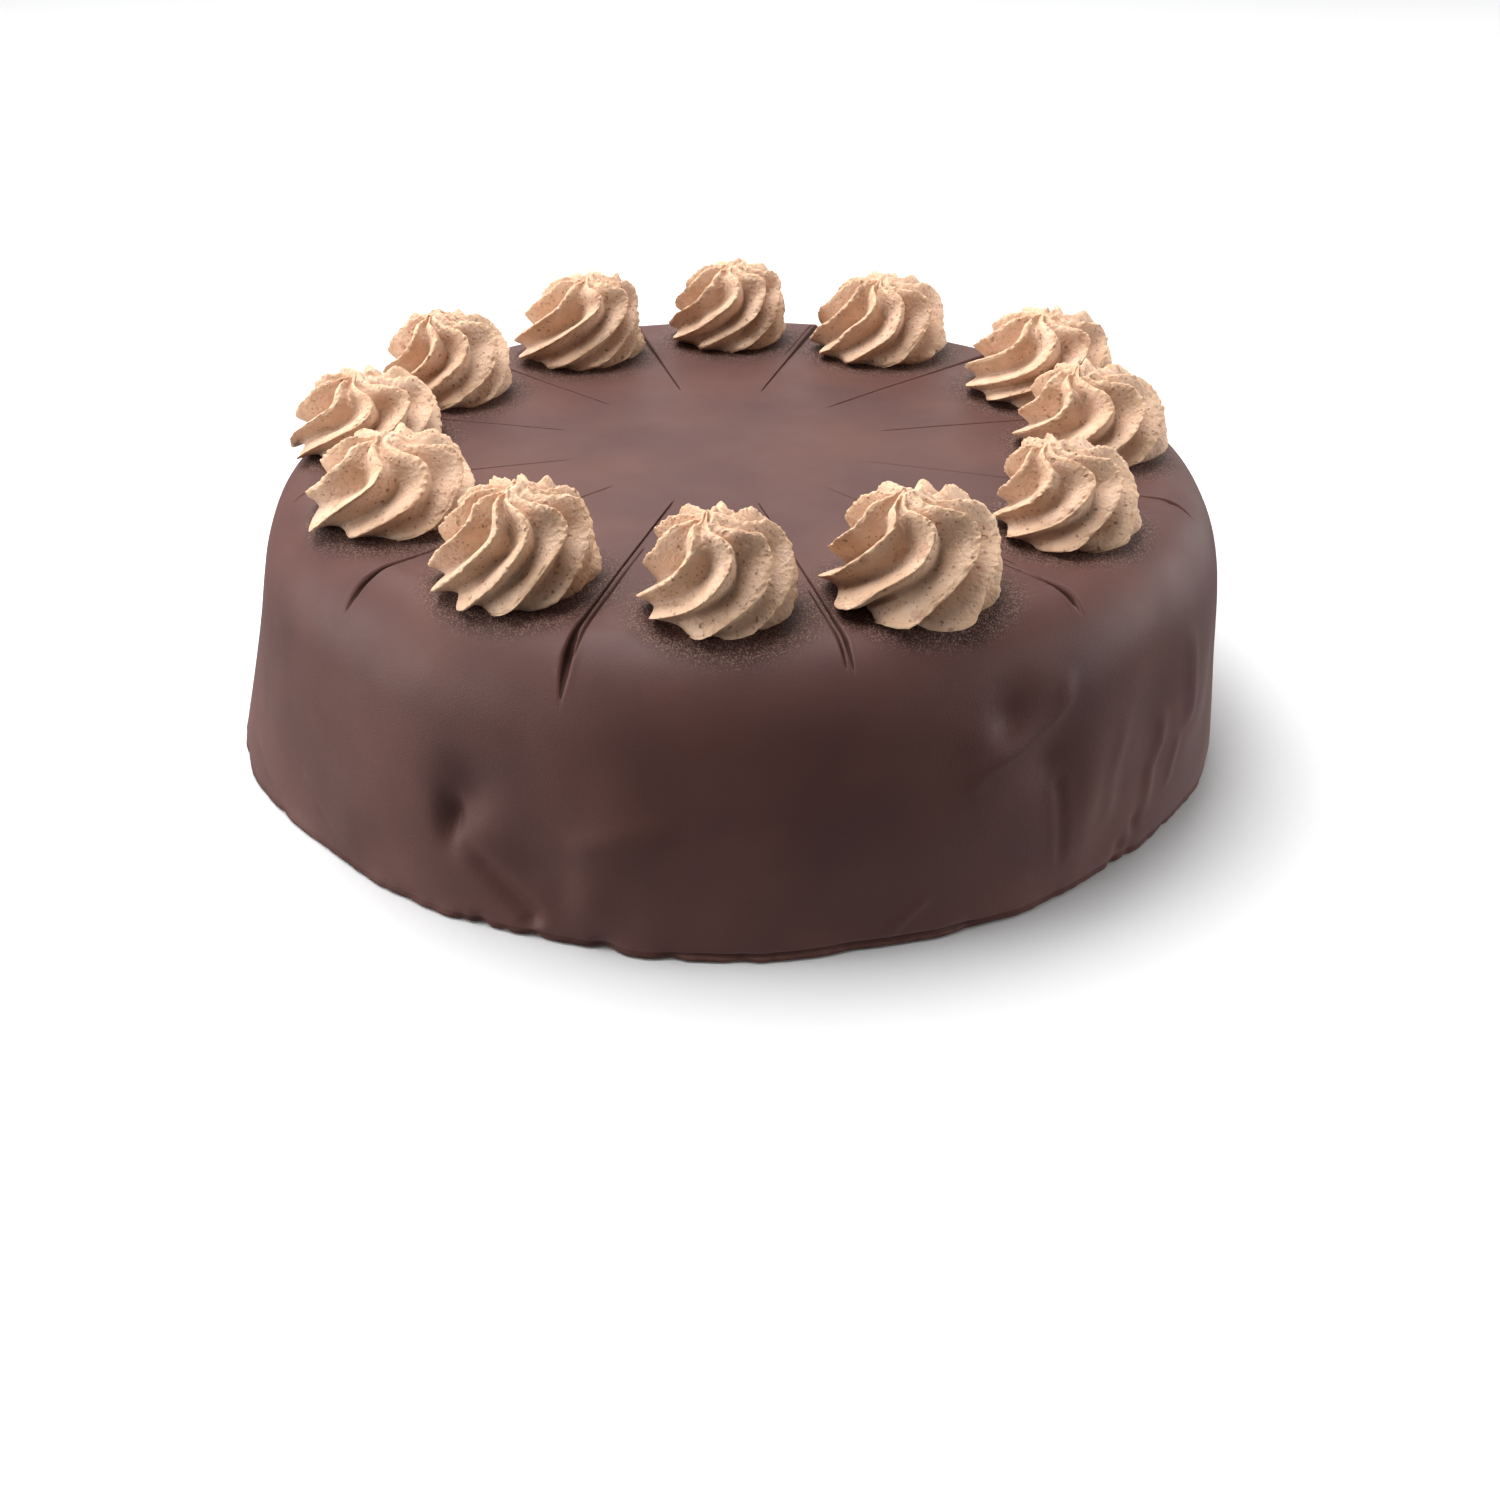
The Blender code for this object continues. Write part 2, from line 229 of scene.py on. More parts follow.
@dataclass(frozen=True)
class Swelling:
    """A soft swelling of the coat's side, or a hollow where the amount is below zero."""

    angle: float
    height: float  # mm, as are the rise and the amount
    spread: float  # degrees
    rise: float
    amount: float

    def lift(self, angle: np.ndarray, height: np.ndarray) -> np.ndarray:
        """How far it moves the coat out, in metres, at these directions and heights."""
        across = bell(angle_between(angle, self.angle), self.spread)
        return self.amount * MM * across * bell(height / MM - self.height, self.rise)


@dataclass(frozen=True)
class Crease:
    """A line along the coat's side: a furrow, or a raised fold where the depth is below zero."""

    route: tuple[tuple[float, float], ...]  # directions, and heights in mm
    width: float  # mm, as is the depth
    depth: float
    lip: float = 0.0  # how far the coat stands up beside it, in mm

    def lift(self, angle: np.ndarray, height: np.ndarray, radius: float) -> np.ndarray:
        """How far it moves the coat out.

        Args:
            angle: The points' directions.
            height: The points' heights, in metres.
            radius: The coat's radius, in metres.

        Returns:
            The move outwards at each point, in metres.
        """
        mm_per_degree = math.radians(1.0) * radius / MM
        first = self.route[0][0]
        across = angle_between(angle, first) * mm_per_degree
        up = height / MM
        nearest = np.full_like(across, np.inf)
        along = np.zeros_like(across)
        stops = [(angle_between(a, first) * mm_per_degree, h) for a, h in self.route]
        spans = len(stops) - 1
        for index, (start, end) in enumerate(zip(stops, stops[1:])):
            run = (end[0] - start[0], end[1] - start[1])
            length = run[0] ** 2 + run[1] ** 2
            share = np.clip(((across - start[0]) * run[0] + (up - start[1]) * run[1]) / length, 0.0, 1.0)
            apart = np.hypot(across - start[0] - share * run[0], up - start[1] - share * run[1])
            closer = apart < nearest
            nearest = np.where(closer, apart, nearest)
            along = np.where(closer, (index + share) / spans, along)
        fade = np.clip(6.0 * along * (1.0 - along), 0.0, 1.0)
        moved = -self.depth * bell(nearest, self.width)
        moved += self.lip * bell(nearest - BESIDE * self.width, 0.8 * self.width)
        return moved * fade * MM


@dataclass(frozen=True)
class ScoreLine:
    """One pressed line of the top. A portion mark has one to three of them."""

    mark: int  # which of the portion marks it belongs to, 0 to 11
    start: float  # mm from the marks' centre
    end: float  # mm from the middle of the top
    half_width: float  # mm, at its widest
    depth: float  # mm, at its widest
    fine: float = 0.22  # mm, half width of its thin inner run
    aside: float = 0.0  # mm to the left, seen from the marks' centre
    stray: float = 0.0  # mm by which its outer end lies further to the left
    peak: float = 0.86  # share of its length at which it is widest
    sharpness: float = 5.0  # how late it widens


@dataclass(frozen=True)
class CoatShape:
    """The even form under the chocolate coat: the same turned outline as the solid."""

    height: float = 71.3 * MM
    foot_radius: float = 125.2 * MM
    foot_bevel: float = 1.2 * MM
    shoulder_radius: float = 118.7 * MM
    shoulder_height: float = 43.5 * MM
    edge_width: float = 17.0 * MM  # how far in from the shoulder the broad rounded edge reaches
    crown: float = 1.3 * MM  # how much higher the middle of the top is than its rim
    shift: float = 4.1 * MM  # how far the top's middle stands to +X of the foot's
    score_centre: tuple[float, float] = (-2.1 * MM, 1.2 * MM)  # where the score marks meet
    score_turn: float = 14.2  # direction of the first mark

    @property
    def top_radius(self) -> float:
        """Radius at which the top starts to round off."""
        return self.shoulder_radius - self.edge_width

    @property
    def rim_height(self) -> float:
        """Height at which the top starts to round off."""
        return self.height - self.crown

    def shoulder_fill(self, height: np.ndarray) -> np.ndarray:
        """How far the coat fills out round the shoulder, so that the edge flows into the side.

        Args:
            height: The points' heights.

        Returns:
            The move outwards at each height, in metres.
        """
        rim = self.rim_height - self.shoulder_height
        flare = (self.foot_radius - self.shoulder_radius) / (self.shoulder_height - self.foot_bevel)
        steepest = 1.0 / math.hypot(1.0, self.edge_width / (flare * rim))
        joint = self.shoulder_height + steepest * rim
        inset = self.edge_width * (1.0 - math.sqrt(1.0 - steepest**2))
        above = np.clip((height - self.shoulder_height) / rim, 0.0, steepest)
        edge = self.edge_width * (1.0 - np.sqrt(1.0 - above**2))
        fill = flare * (joint - np.maximum(height, self.shoulder_height)) - inset + edge
        full = flare * (joint - self.shoulder_height) - inset
        risen = (height - self.foot_bevel) / (self.shoulder_height - self.foot_bevel)
        lower = np.where(height > self.shoulder_height, fill, full * np.clip(risen, 0.0, 1.0))
        return np.where(height > joint, 0.0, lower)

    def section_shift(self, height: np.ndarray) -> np.ndarray:
        """How far the section at each height stands to +X of the foot."""
        return self.shift * np.sin(math.pi / 2.0 * np.clip(height / self.height, 0.0, 1.0))

    def top_height(self, across: np.ndarray) -> np.ndarray:
        """Height of the upper surface.

        Args:
            across: Distances from the middle of the top.

        Returns:
            The height at each distance.
        """
        flat = self.height - self.crown * (across / self.top_radius) ** 2
        share = np.clip((across - self.top_radius) / self.edge_width, 0.0, 1.0)
        edge = self.shoulder_height + (self.rim_height - self.shoulder_height) * np.sqrt(1.0 - share**2)
        return np.where(across <= self.top_radius, flat, edge)

    def surface_height(self, x: np.ndarray, y: np.ndarray) -> np.ndarray:
        """Height of the upper surface over each place of the plan."""
        return self.top_height(np.hypot(x - self.shift, y))


COAT = CoatShape()

# Soft forms of the side, the same as the solid's.
SWELLINGS = (
    Swelling(-136, 0, 20.0, 30, -6.2),
    Swelling(-105, 0, 16.0, 28, -6.4),
    Swelling(-74, 0, 20.0, 28, -6.4),
    Swelling(-46, 0, 13.0, 28, -4.2),
    Swelling(-27, 0, 10.0, 26, -1.5),
    Swelling(62, 0, 20.0, 26, -2.4),
    Swelling(118, 0, 22.0, 26, -2.6),
    Swelling(-119, 32, 3.4, 9, -2.8),
    Swelling(-111, 20, 4.0, 8, -1.4),
    Swelling(-103, 27, 5.0, 12, 1.8),
    Swelling(-137, 12, 4.0, 11, 1.1),
    Swelling(-61, 55, 3.4, 6, -1.5),
    Swelling(-63, 41, 4.0, 8, 1.2),
    Swelling(-55, 38, 3.4, 9, -1.7),
    Swelling(-49, 22, 4.0, 16, 1.2),
    Swelling(-38, 38, 4.0, 14, -1.0),
    Swelling(-27, 34, 5.0, 16, 0.9),
)

# Finer forms that only the coat's own surface has.
FINE_SWELLINGS = (
    Swelling(-121.3, 25.5, 1.3, 4.8, -3.3),  # the dimple's core
    Swelling(-121.0, 20, 1.6, 4.0, -0.8),
    Swelling(-117.5, 26, 1.8, 6, 0.5),
    Swelling(-104.4, 15, 2.6, 8, 0.8),
    Swelling(-107.8, 12, 1.6, 7, -0.45),
    Swelling(-110, 23, 3.0, 5, 0.5),
    Swelling(-61.7, 51, 1.8, 3.5, -1.4),
    Swelling(-66, 50, 2.4, 4.5, 0.2),
    Swelling(-56.2, 38.5, 1.8, 4.5, -1.1),
    Swelling(-50.0, 24, 2.4, 12, 0.6),
    Swelling(-38.8, 8.5, 0.8, 3, -0.9),
    Swelling(-41.3, 4.5, 0.9, 2.4, -0.9),
    Swelling(-99, 4, 3.0, 6, 0.7),
    Swelling(-88, 12, 5.0, 12, 0.6),
    Swelling(-79, 8, 4.0, 10, -0.5),
    Swelling(-70, 24, 4.0, 9, 0.5),
    Swelling(-132, 24, 4.0, 12, 0.5),
    Swelling(-150, 20, 4.0, 14, -0.4),
    Swelling(-20, 26, 3.0, 16, -0.5),
    Swelling(75, 30, 4.0, 14, 0.9),
    Swelling(96, 20, 3.0, 12, -1.0),
    Swelling(150, 28, 4.0, 10, -0.9),
    Swelling(35, 24, 4.0, 16, 0.8),
)
CREASES = (
    Crease(((-120.2, 20), (-115.6, 13), (-111.4, 6.0), (-110.8, 2.4)), 2.4, 1.8),
    Crease(((-147.5, 16), (-145.7, 13.5), (-143.4, 10), (-136.7, 2.4)), 0.8, -0.3),
    Crease(((-164, 12), (-159.2, 9.6), (-154.7, 5.1)), 1.0, -0.35),
    Crease(((-107.5, 24.8), (-101.6, 30.6), (-95.5, 34.0)), 3.6, -0.5),
    Crease(((-53.4, 58), (-54.4, 51.8), (-56.2, 48.3), (-60.6, 44.8), (-64.0, 42.5)), 2.0, -1.1),
    Crease(((-62.2, 45), (-65, 41), (-66.2, 36)), 1.8, -0.6),
    Crease(((-54.4, 33), (-54, 30), (-52.9, 19), (-51.8, 8)), 1.2, 0.5, 0.12),
    Crease(((-68.4, 12.5), (-71.1, 7), (-73.2, 2)), 1.2, -0.5),
    Crease(((-30.2, 52), (-29.7, 37.3), (-29.2, 25)), 2.4, -0.85),
    Crease(((-35.5, 36), (-35.7, 27.2), (-37.2, 21.8), (-37.0, 9)), 2.0, -0.8),
    Crease(((-31.5, 26), (-32.5, 12)), 1.6, -0.5),
    Crease(((-43.5, 42), (-45.5, 28), (-45, 12)), 2.8, -0.6),
    Crease(((28, 45), (30, 30), (29, 12)), 1.8, -0.6),
    Crease(((88, 40), (86, 22), (90, 8)), 1.6, 0.7, 0.3),
    Crease(((128, 34), (124, 20), (127, 6)), 1.6, -0.7),
)

# Torn notches of the foot: direction, width in degrees, and depth and height in mm.
FOOT_NOTCHES = (
    (-151.3, 0.7, 1.0, 1.6),
    (-119.2, 0.8, 1.3, 2.2),
    (-117.2, 0.9, 2.0, 2.6),
    (-114.2, 0.5, 1.0, 1.4),
    (-110.9, 1.2, 1.4, 2.0),
    (-102.7, 1.3, 2.0, 3.2),
    (-95.6, 1.1, 1.4, 2.4),
    (-88.4, 1.2, 1.0, 3.0),
    (-42.2, 0.7, 1.2, 2.4),
    (-39.6, 0.5, 0.9, 3.0),
    (-31.7, 0.4, 0.9, 1.2),
    (12.0, 0.9, 1.2, 2.0),
    (41.0, 1.3, 1.5, 2.4),
    (83.0, 1.0, 1.3, 2.2),
    (109.0, 1.4, 1.6, 2.6),
    (140.0, 0.8, 1.2, 1.8),
    (171.0, 1.1, 1.4, 2.2),
)
SLIT_RUN = (-97.0, -62.0)  # where a dark slit shows above the coat's trimmed lower edge

SCORE_LINES = (
    ScoreLine(0, 41, 111, 0.6, 0.8),
    ScoreLine(1, 38, 110, 0.7, 0.9),
    ScoreLine(2, 40, 112, 0.9, 1.2, sharpness=2.5),
    ScoreLine(2, 72, 106, 0.35, 0.5, aside=1.8),
    ScoreLine(3, 41, 112, 0.85, 1.1, sharpness=2.5),
    ScoreLine(4, 39, 111, 0.6, 0.8),
    ScoreLine(5, 38, 110, 0.55, 0.7),
    ScoreLine(6, 36, 78, 0.25, 0.45),
    ScoreLine(6, 97, 110, 0.34, 0.8, peak=0.5, sharpness=1.0),
    ScoreLine(7, 35, 114.6, 0.85, 1.9, fine=0.18, aside=1.5, stray=-4.1, sharpness=8.0, peak=0.93),
    ScoreLine(8, 36, 116, 0.95, 2.2, sharpness=7.0, peak=0.93),
    ScoreLine(8, 62, 111, 0.36, 0.8, aside=1.5, sharpness=1.5, peak=0.8),
    ScoreLine(9, 36, 112, 0.40, 1.3, fine=0.18, aside=0.6, sharpness=3.0, peak=0.9),
    ScoreLine(9, 84, 111, 0.28, 0.9, fine=0.18, aside=-0.8, sharpness=3.0),
    ScoreLine(10, 35, 92, 0.25, 0.4, aside=-0.4),
    ScoreLine(10, 93, 97, 0.28, 0.5, aside=-2.3, peak=0.5, sharpness=1.0),
    ScoreLine(10, 97.5, 110.0, 0.70, 2.4, aside=-2.3, stray=-0.6, peak=0.78, sharpness=0.6),
    ScoreLine(11, 35, 90, 0.22, 0.35),
    ScoreLine(11, 98, 110.4, 0.50, 1.6, aside=-1.4, stray=-0.5, peak=0.7, sharpness=0.7),
)


@dataclass(frozen=True)
class ChocolateCoat:
    """The cake under its coat of dark chocolate."""

    name: str = "chocolate_coat"
    columns: int = 60 * PORTIONS
    top_rows: int = 54
    edge_rows: int = 24
    side_rows: int = 50
    bevel_rows: int = 3
    under_rows: int = 3
    top_spacing: float = 0.92  # how the rings draw together towards the edge of the top
    side_spacing: float = 1.4  # and down the side, towards the foot
    crowding: float = 0.80  # how much closer the columns stand beside the score marks
    straightening: float = 14.0 * MM  # how far below the shoulder the columns take to stand evenly
    wave_size: float = 42.0 * MM  # slow waves of the side, and shorter ripples on them
    wave_depth: float = 1.1 * MM
    ripple_size: float = 14.0 * MM
    ripple_depth: float = 0.28 * MM
    ripple_stretch: Triple = (1.0, 1.0, 0.55)  # the ripples are taller than wide
    flow_size: float = 26.0 * MM  # how the top flows a little
    flow_depth: float = 0.16 * MM
    foot_reach: float = 3.2 * MM  # how high the torn lower edge reaches
    foot_waves: tuple[Triple, ...] = (  # size and depth in metres, and shift
        (3.0 * MM, 0.30 * MM, 5.1),
        (11.0 * MM, 0.7 * MM, 2.7),
    )
    slit_height: float = 1.9 * MM  # the dark slit above the coat's trimmed edge
    slit_depth: float = 0.85 * MM
    slit_spread: float = 0.55 * MM
    slit_wander: float = 0.35 * MM
    trim_height: float = 0.6 * MM  # the trimmed edge under the slit
    trim_depth: float = 0.35 * MM
    cut_height: float = 0.5 * MM  # the pale cut edge that runs round the whole foot
    cut_spread: float = 0.8 * MM
    cut_limit: float = 3.0 * MM
    ragged_size: float = 2.2 * MM
    ragged: float = 0.3  # how unevenly wide the score lines are
    shallow: float = 0.32  # depth of a line's thin run, as a share of its deepest
    abrupt: float = 14.0  # how suddenly a line starts and ends
    wall: float = 3.4  # how upright its walls are
    burr: float = 0.10  # how high the coat stands up beside it, as a share of its depth
    overrun: float = 2.0 * MM  # how far below the shoulder the score marks may still reach
    halo_start: float = 0.9  # share of a rosette's radius at which the specks start to thin out
    halo_reach: float = 9.5 * MM  # how far on from there the coat is still speckled
    halo_fall: float = 1.2  # how early they thin out
    halo_fade: float = 4.0 * MM  # how far below the rim of the top they are still full

    @property
    def rings(self) -> int:
        """How many rings of points follow on the middle of the top."""
        return self.top_rows + self.edge_rows + self.side_rows + self.bevel_rows + self.under_rows

    def rows(self) -> tuple[np.ndarray, np.ndarray, np.ndarray]:
        """Plans the rings of points, from the middle of the top to the middle of the underside.

        Returns:
            For each ring its share of the way out over the flat top, its distance from the middle
            of the section, and its height.
        """
        shape = COAT
        top = np.linspace(0.0, 1.0, self.top_rows + 1) ** self.top_spacing
        share = [top, np.ones(self.edge_rows + self.side_rows + self.bevel_rows + self.under_rows)]
        lift = np.radians(90.0 * np.arange(1, self.edge_rows + 1) / self.edge_rows)
        down = 1.0 - (1.0 - np.arange(1, self.side_rows + 1) / self.side_rows) ** self.side_spacing
        bevel = np.radians(90.0 * np.arange(1, self.bevel_rows + 1) / self.bevel_rows)
        inward = 1.0 - np.arange(1, self.under_rows + 1) / self.under_rows
        under_radius = shape.foot_radius - shape.foot_bevel
        rim = shape.rim_height - shape.shoulder_height
        across = [
            top * shape.top_radius,
            shape.top_radius + shape.edge_width * np.sin(lift),
            shape.shoulder_radius + (shape.foot_radius - shape.shoulder_radius) * down,
            under_radius + shape.foot_bevel * np.cos(bevel),
            under_radius * inward,
        ]
        height = [
            shape.top_height(top * shape.top_radius),
            shape.shoulder_height + rim * np.cos(lift),
            shape.shoulder_height + (shape.foot_bevel - shape.shoulder_height) * down,
            shape.foot_bevel * (1.0 - np.sin(bevel)),
            np.zeros(self.under_rows),
        ]
        return np.concatenate(share), np.concatenate(across), np.concatenate(height)

    def directions(self, column: np.ndarray) -> np.ndarray:
        """Spaces the columns round the marks' centre, close together beside the marks.

        Args:
            column: Each point's column.

        Returns:
            Its direction from the marks' centre, in degrees.
        """
        portion = column / (self.columns / PORTIONS)
        return COAT.score_turn + PORTION_ANGLE * (np.floor(portion) + crowded(portion % 1.0, self.crowding))

    def score_depth(self, away: np.ndarray, across: np.ndarray) -> tuple[np.ndarray, np.ndarray]:
        """Sums up the score marks.

        Args:
            away: The points' places about the marks' centre, in the plan.
            across: The points' distances from the middle of the top.

        Returns:
            How far each point is pressed in, in metres, and how much of it is a mark's dark floor.
        """
        pressed = np.zeros(len(away))
        floor = np.zeros(len(away))
        uneven = 1.0 + self.ragged * noise_over(np.c_[away, np.zeros(len(away))], self.ragged_size)
        for line in SCORE_LINES:
            angle = math.radians(COAT.score_turn + PORTION_ANGLE * line.mark)
            outwards = np.array([math.cos(angle), math.sin(angle)])
            along = away @ outwards
            aside = away @ np.array([-outwards[1], outwards[0]]) - line.aside * MM
            reach = line.end * MM - across + along
            share = np.clip((along - line.start * MM) / (reach - line.start * MM), -0.2, 1.2)
            aside -= line.stray * MM * np.maximum(0.0, share) ** 4
            rising = np.clip(share / line.peak, 0.0, 1.0) ** line.sharpness
            falling = 1.0 - np.clip((share - line.peak) / (1.0 - line.peak), 0.0, 1.0) ** 2
            swell = np.where(share < line.peak, rising, falling)
            half = (line.fine + (line.half_width - line.fine) * swell) * uneven
            ends = np.clip(share * self.abrupt, 0.0, 1.0) * np.clip((1.0 - share) * self.abrupt, 0.0, 1.0)
            deep = line.depth * (self.shallow + (1.0 - self.shallow) * swell) * ends * (along > 0.0)
            beside = np.abs(aside) / (half * MM)
            pressed += deep * MM * np.exp(-(beside**self.wall))
            pressed -= self.burr * deep * MM * bell(beside - BESIDE, 0.7)
            floor = np.maximum(floor, np.exp(-((beside / 1.1) ** 3.0)) * np.clip(deep * 4.5, 0.0, 1.0))
        return pressed, floor

    def side_lift(self, angle: np.ndarray, height: np.ndarray) -> np.ndarray:
        """How far the side's coat stands out from the even form.

        Args:
            angle: The points' directions, in degrees.
            height: Their heights.

        Returns:
            The move outwards at each point, in metres.
        """
        turned = crossing(np.radians(angle)) * COAT.shoulder_radius
        turned[:, 2] = height
        lift = self.wave_depth * noise_over(turned, self.wave_size)
        for form in (*SWELLINGS, *FINE_SWELLINGS):
            lift += form.lift(angle, height)
        for crease in CREASES:
            lift += crease.lift(angle, height, COAT.shoulder_radius)
        lift += self.ripple_depth * noise_over(turned * self.ripple_stretch, self.ripple_size, 11.3)
        return lift + self.foot_lift(turned, angle, height)

    def foot_lift(self, turned: np.ndarray, angle: np.ndarray, height: np.ndarray) -> np.ndarray:
        """The torn lower edge: waves, notches, and a slit above the trimmed edge.

        Args:
            turned: The points on the even side.
            angle: Their directions, in degrees.
            height: Their heights.

        Returns:
            How far each is moved outwards, in metres.
        """
        low = bell(height, self.foot_reach)
        flat = turned * (1.0, 1.0, 0.4)
        lift = np.zeros(len(angle))
        for size, depth, shift in self.foot_waves:
            lift += depth * low * noise_over(flat, size, shift)
        for place, wide, deep, high in FOOT_NOTCHES:
            lift -= deep * MM * bell(angle_between(angle, place), wide) * bell(height / MM, high)
        first, last = SLIT_RUN
        inside = eased(angle, first, first + 6.0) * eased(-angle, -last, -last + 3.0)
        wander = self.slit_wander * noise_over(crossing(np.radians(angle)) * COAT.foot_radius, 7.0 * MM)
        lift -= inside * self.slit_depth * bell(height - self.slit_height - wander, self.slit_spread)
        return lift + inside * self.trim_depth * bell(height - self.trim_height, self.trim_height)

    def spread_out(self, row: np.ndarray, column: np.ndarray) -> tuple[np.ndarray, ...]:
        """Spreads the points over the even form.

        Over the top the columns run out from the marks' centre. Down the side they come to stand evenly.

        Args:
            row: Each point's ring, from 0 in the middle of the top.
            column: Its column.

        Returns:
            Each point's direction in degrees, its distance from the middle of its section, its height,
            and whether it is on the flat top.
        """
        share, row_across, row_height = self.rows()
        on_top = share[row] < 1.0
        direction = np.radians(self.directions(column))
        outwards = np.stack([np.cos(direction), np.sin(direction)], axis=1)
        middle = np.array([COAT.shift, 0.0])
        centre = np.array(COAT.score_centre)
        offset = centre - middle
        along = outwards @ offset
        reach = np.where(row > self.top_rows + self.edge_rows, COAT.shoulder_radius, row_across[row])
        full = np.where(on_top, COAT.top_radius, reach)
        length = (np.sqrt(along**2 - offset @ offset + full**2) - along) * share[row]
        plan = centre + outwards * length[:, None] - middle
        across = np.hypot(plan[:, 0], plan[:, 1])
        angle = np.degrees(np.arctan2(plan[:, 1], plan[:, 0]))
        height = np.where(on_top, COAT.top_height(across), row_height[row])

        even = COAT.score_turn + 360.0 * column / self.columns
        even += angle_between(np.degrees(direction), even).mean()
        evenly = eased(COAT.shoulder_height - height, 0.0, self.straightening) * ~on_top
        angle += evenly * angle_between(even, angle)
        return angle, np.where(on_top, across, row_across[row]), height, on_top

    def press(
        self, places: np.ndarray, angle: np.ndarray, across: np.ndarray
    ) -> tuple[np.ndarray, np.ndarray]:
        """Presses the score marks in, and makes the top flow a little.

        Args:
            places: Points of the top and the edge.
            angle: Their directions, in degrees.
            across: Their distances from the middle of the top.

        Returns:
            The moved points, and how much of each is a mark's dark floor.
        """
        pressed, floor = self.score_depth(places[:, :2] - np.array(COAT.score_centre), across)
        steepness = np.clip((across - COAT.top_radius) / COAT.edge_width, 0.0, 1.0)
        normal = crossing(np.radians(angle)) * steepness[:, None]
        normal[:, 2] = np.sqrt(1.0 - steepness**2)
        moved = places - normal * pressed[:, None]
        flowing = noise_over(moved, self.flow_size, 3.3) * self.flow_depth
        moved[:, 2] += flowing * (1.0 - steepness)
        return moved, floor

    def build(
        self, rosettes: "tuple[PipedRosette, ...]", material: bpy.types.Material
    ) -> bpy.types.Object:
        """Models the coat.

        Args:
            rosettes: The rosettes, round which the coat is speckled and darkened with painted shade.
            material: The chocolate.

        Returns:
            The piece.
        """
        mesh, ring, column = SphereGrid(self.name, self.columns, self.rings).mesh()
        row = self.rings - ring
        angle, across, height, on_top = self.spread_out(row, column)
        side_end = self.rings - self.under_rows - self.bevel_rows
        edge_share = np.clip((across - COAT.top_radius) / COAT.edge_width, 0.0, 1.0)
        edge_share[row >= side_end] = 1.0
        sided = edge_share > 0.0
        lift = np.zeros(len(row))
        lift[sided] = edge_share[sided] * self.side_lift(angle[sided], height[sided])
        lift += np.where(on_top, 0.0, COAT.shoulder_fill(height))
        underside = np.where(row > self.rings - self.under_rows, across / COAT.foot_radius, 1.0)
        places = crossing(np.radians(angle)) * (across + lift * underside)[:, None]
        places[:, 0] += COAT.section_shift(height)
        places[:, 2] = height

        upper = height > COAT.shoulder_height - self.overrun
        slit = np.zeros(len(row))
        places[upper], slit[upper] = self.press(places[upper], angle[upper], across[upper])
        move_points(mesh, places)

        trimmed = bell(places[:, 2] - self.cut_height, self.cut_spread) * (height < self.cut_limit)
        write_attribute(mesh, "slit", slit)
        write_attribute(mesh, "halo", self.halo(places, rosettes))
        write_attribute(mesh, "trimmed", trimmed)
        return settle_piece(mesh, "cake", material)

    def halo(self, places: np.ndarray, rosettes: "tuple[PipedRosette, ...]") -> np.ndarray:
        """How strongly the coat is speckled, and darkened with painted shade, by the rosettes near it.

        Args:
            places: The coat's points.
            rosettes: The rosettes.

        Returns:
            From 0 to 1 at each point.
        """
        strength = np.zeros(len(places))
        for rosette in rosettes:
            centre = rosette.centre()
            apart = np.hypot(places[:, 0] - centre[0], places[:, 1] - centre[1])
            below = np.maximum(0.0, COAT.surface_height(*centre) - places[:, 2])
            past = apart + below - self.halo_start * rosette.radius
            reach = np.clip(past / self.halo_reach, 0.0, 1.0)
            strength = np.maximum(strength, (1.0 - reach) ** self.halo_fall)
        return strength * eased(places[:, 2], COAT.shoulder_height, COAT.rim_height - self.halo_fade)


# ---------------------------------------------------------------------------------------------------
# The rosettes.


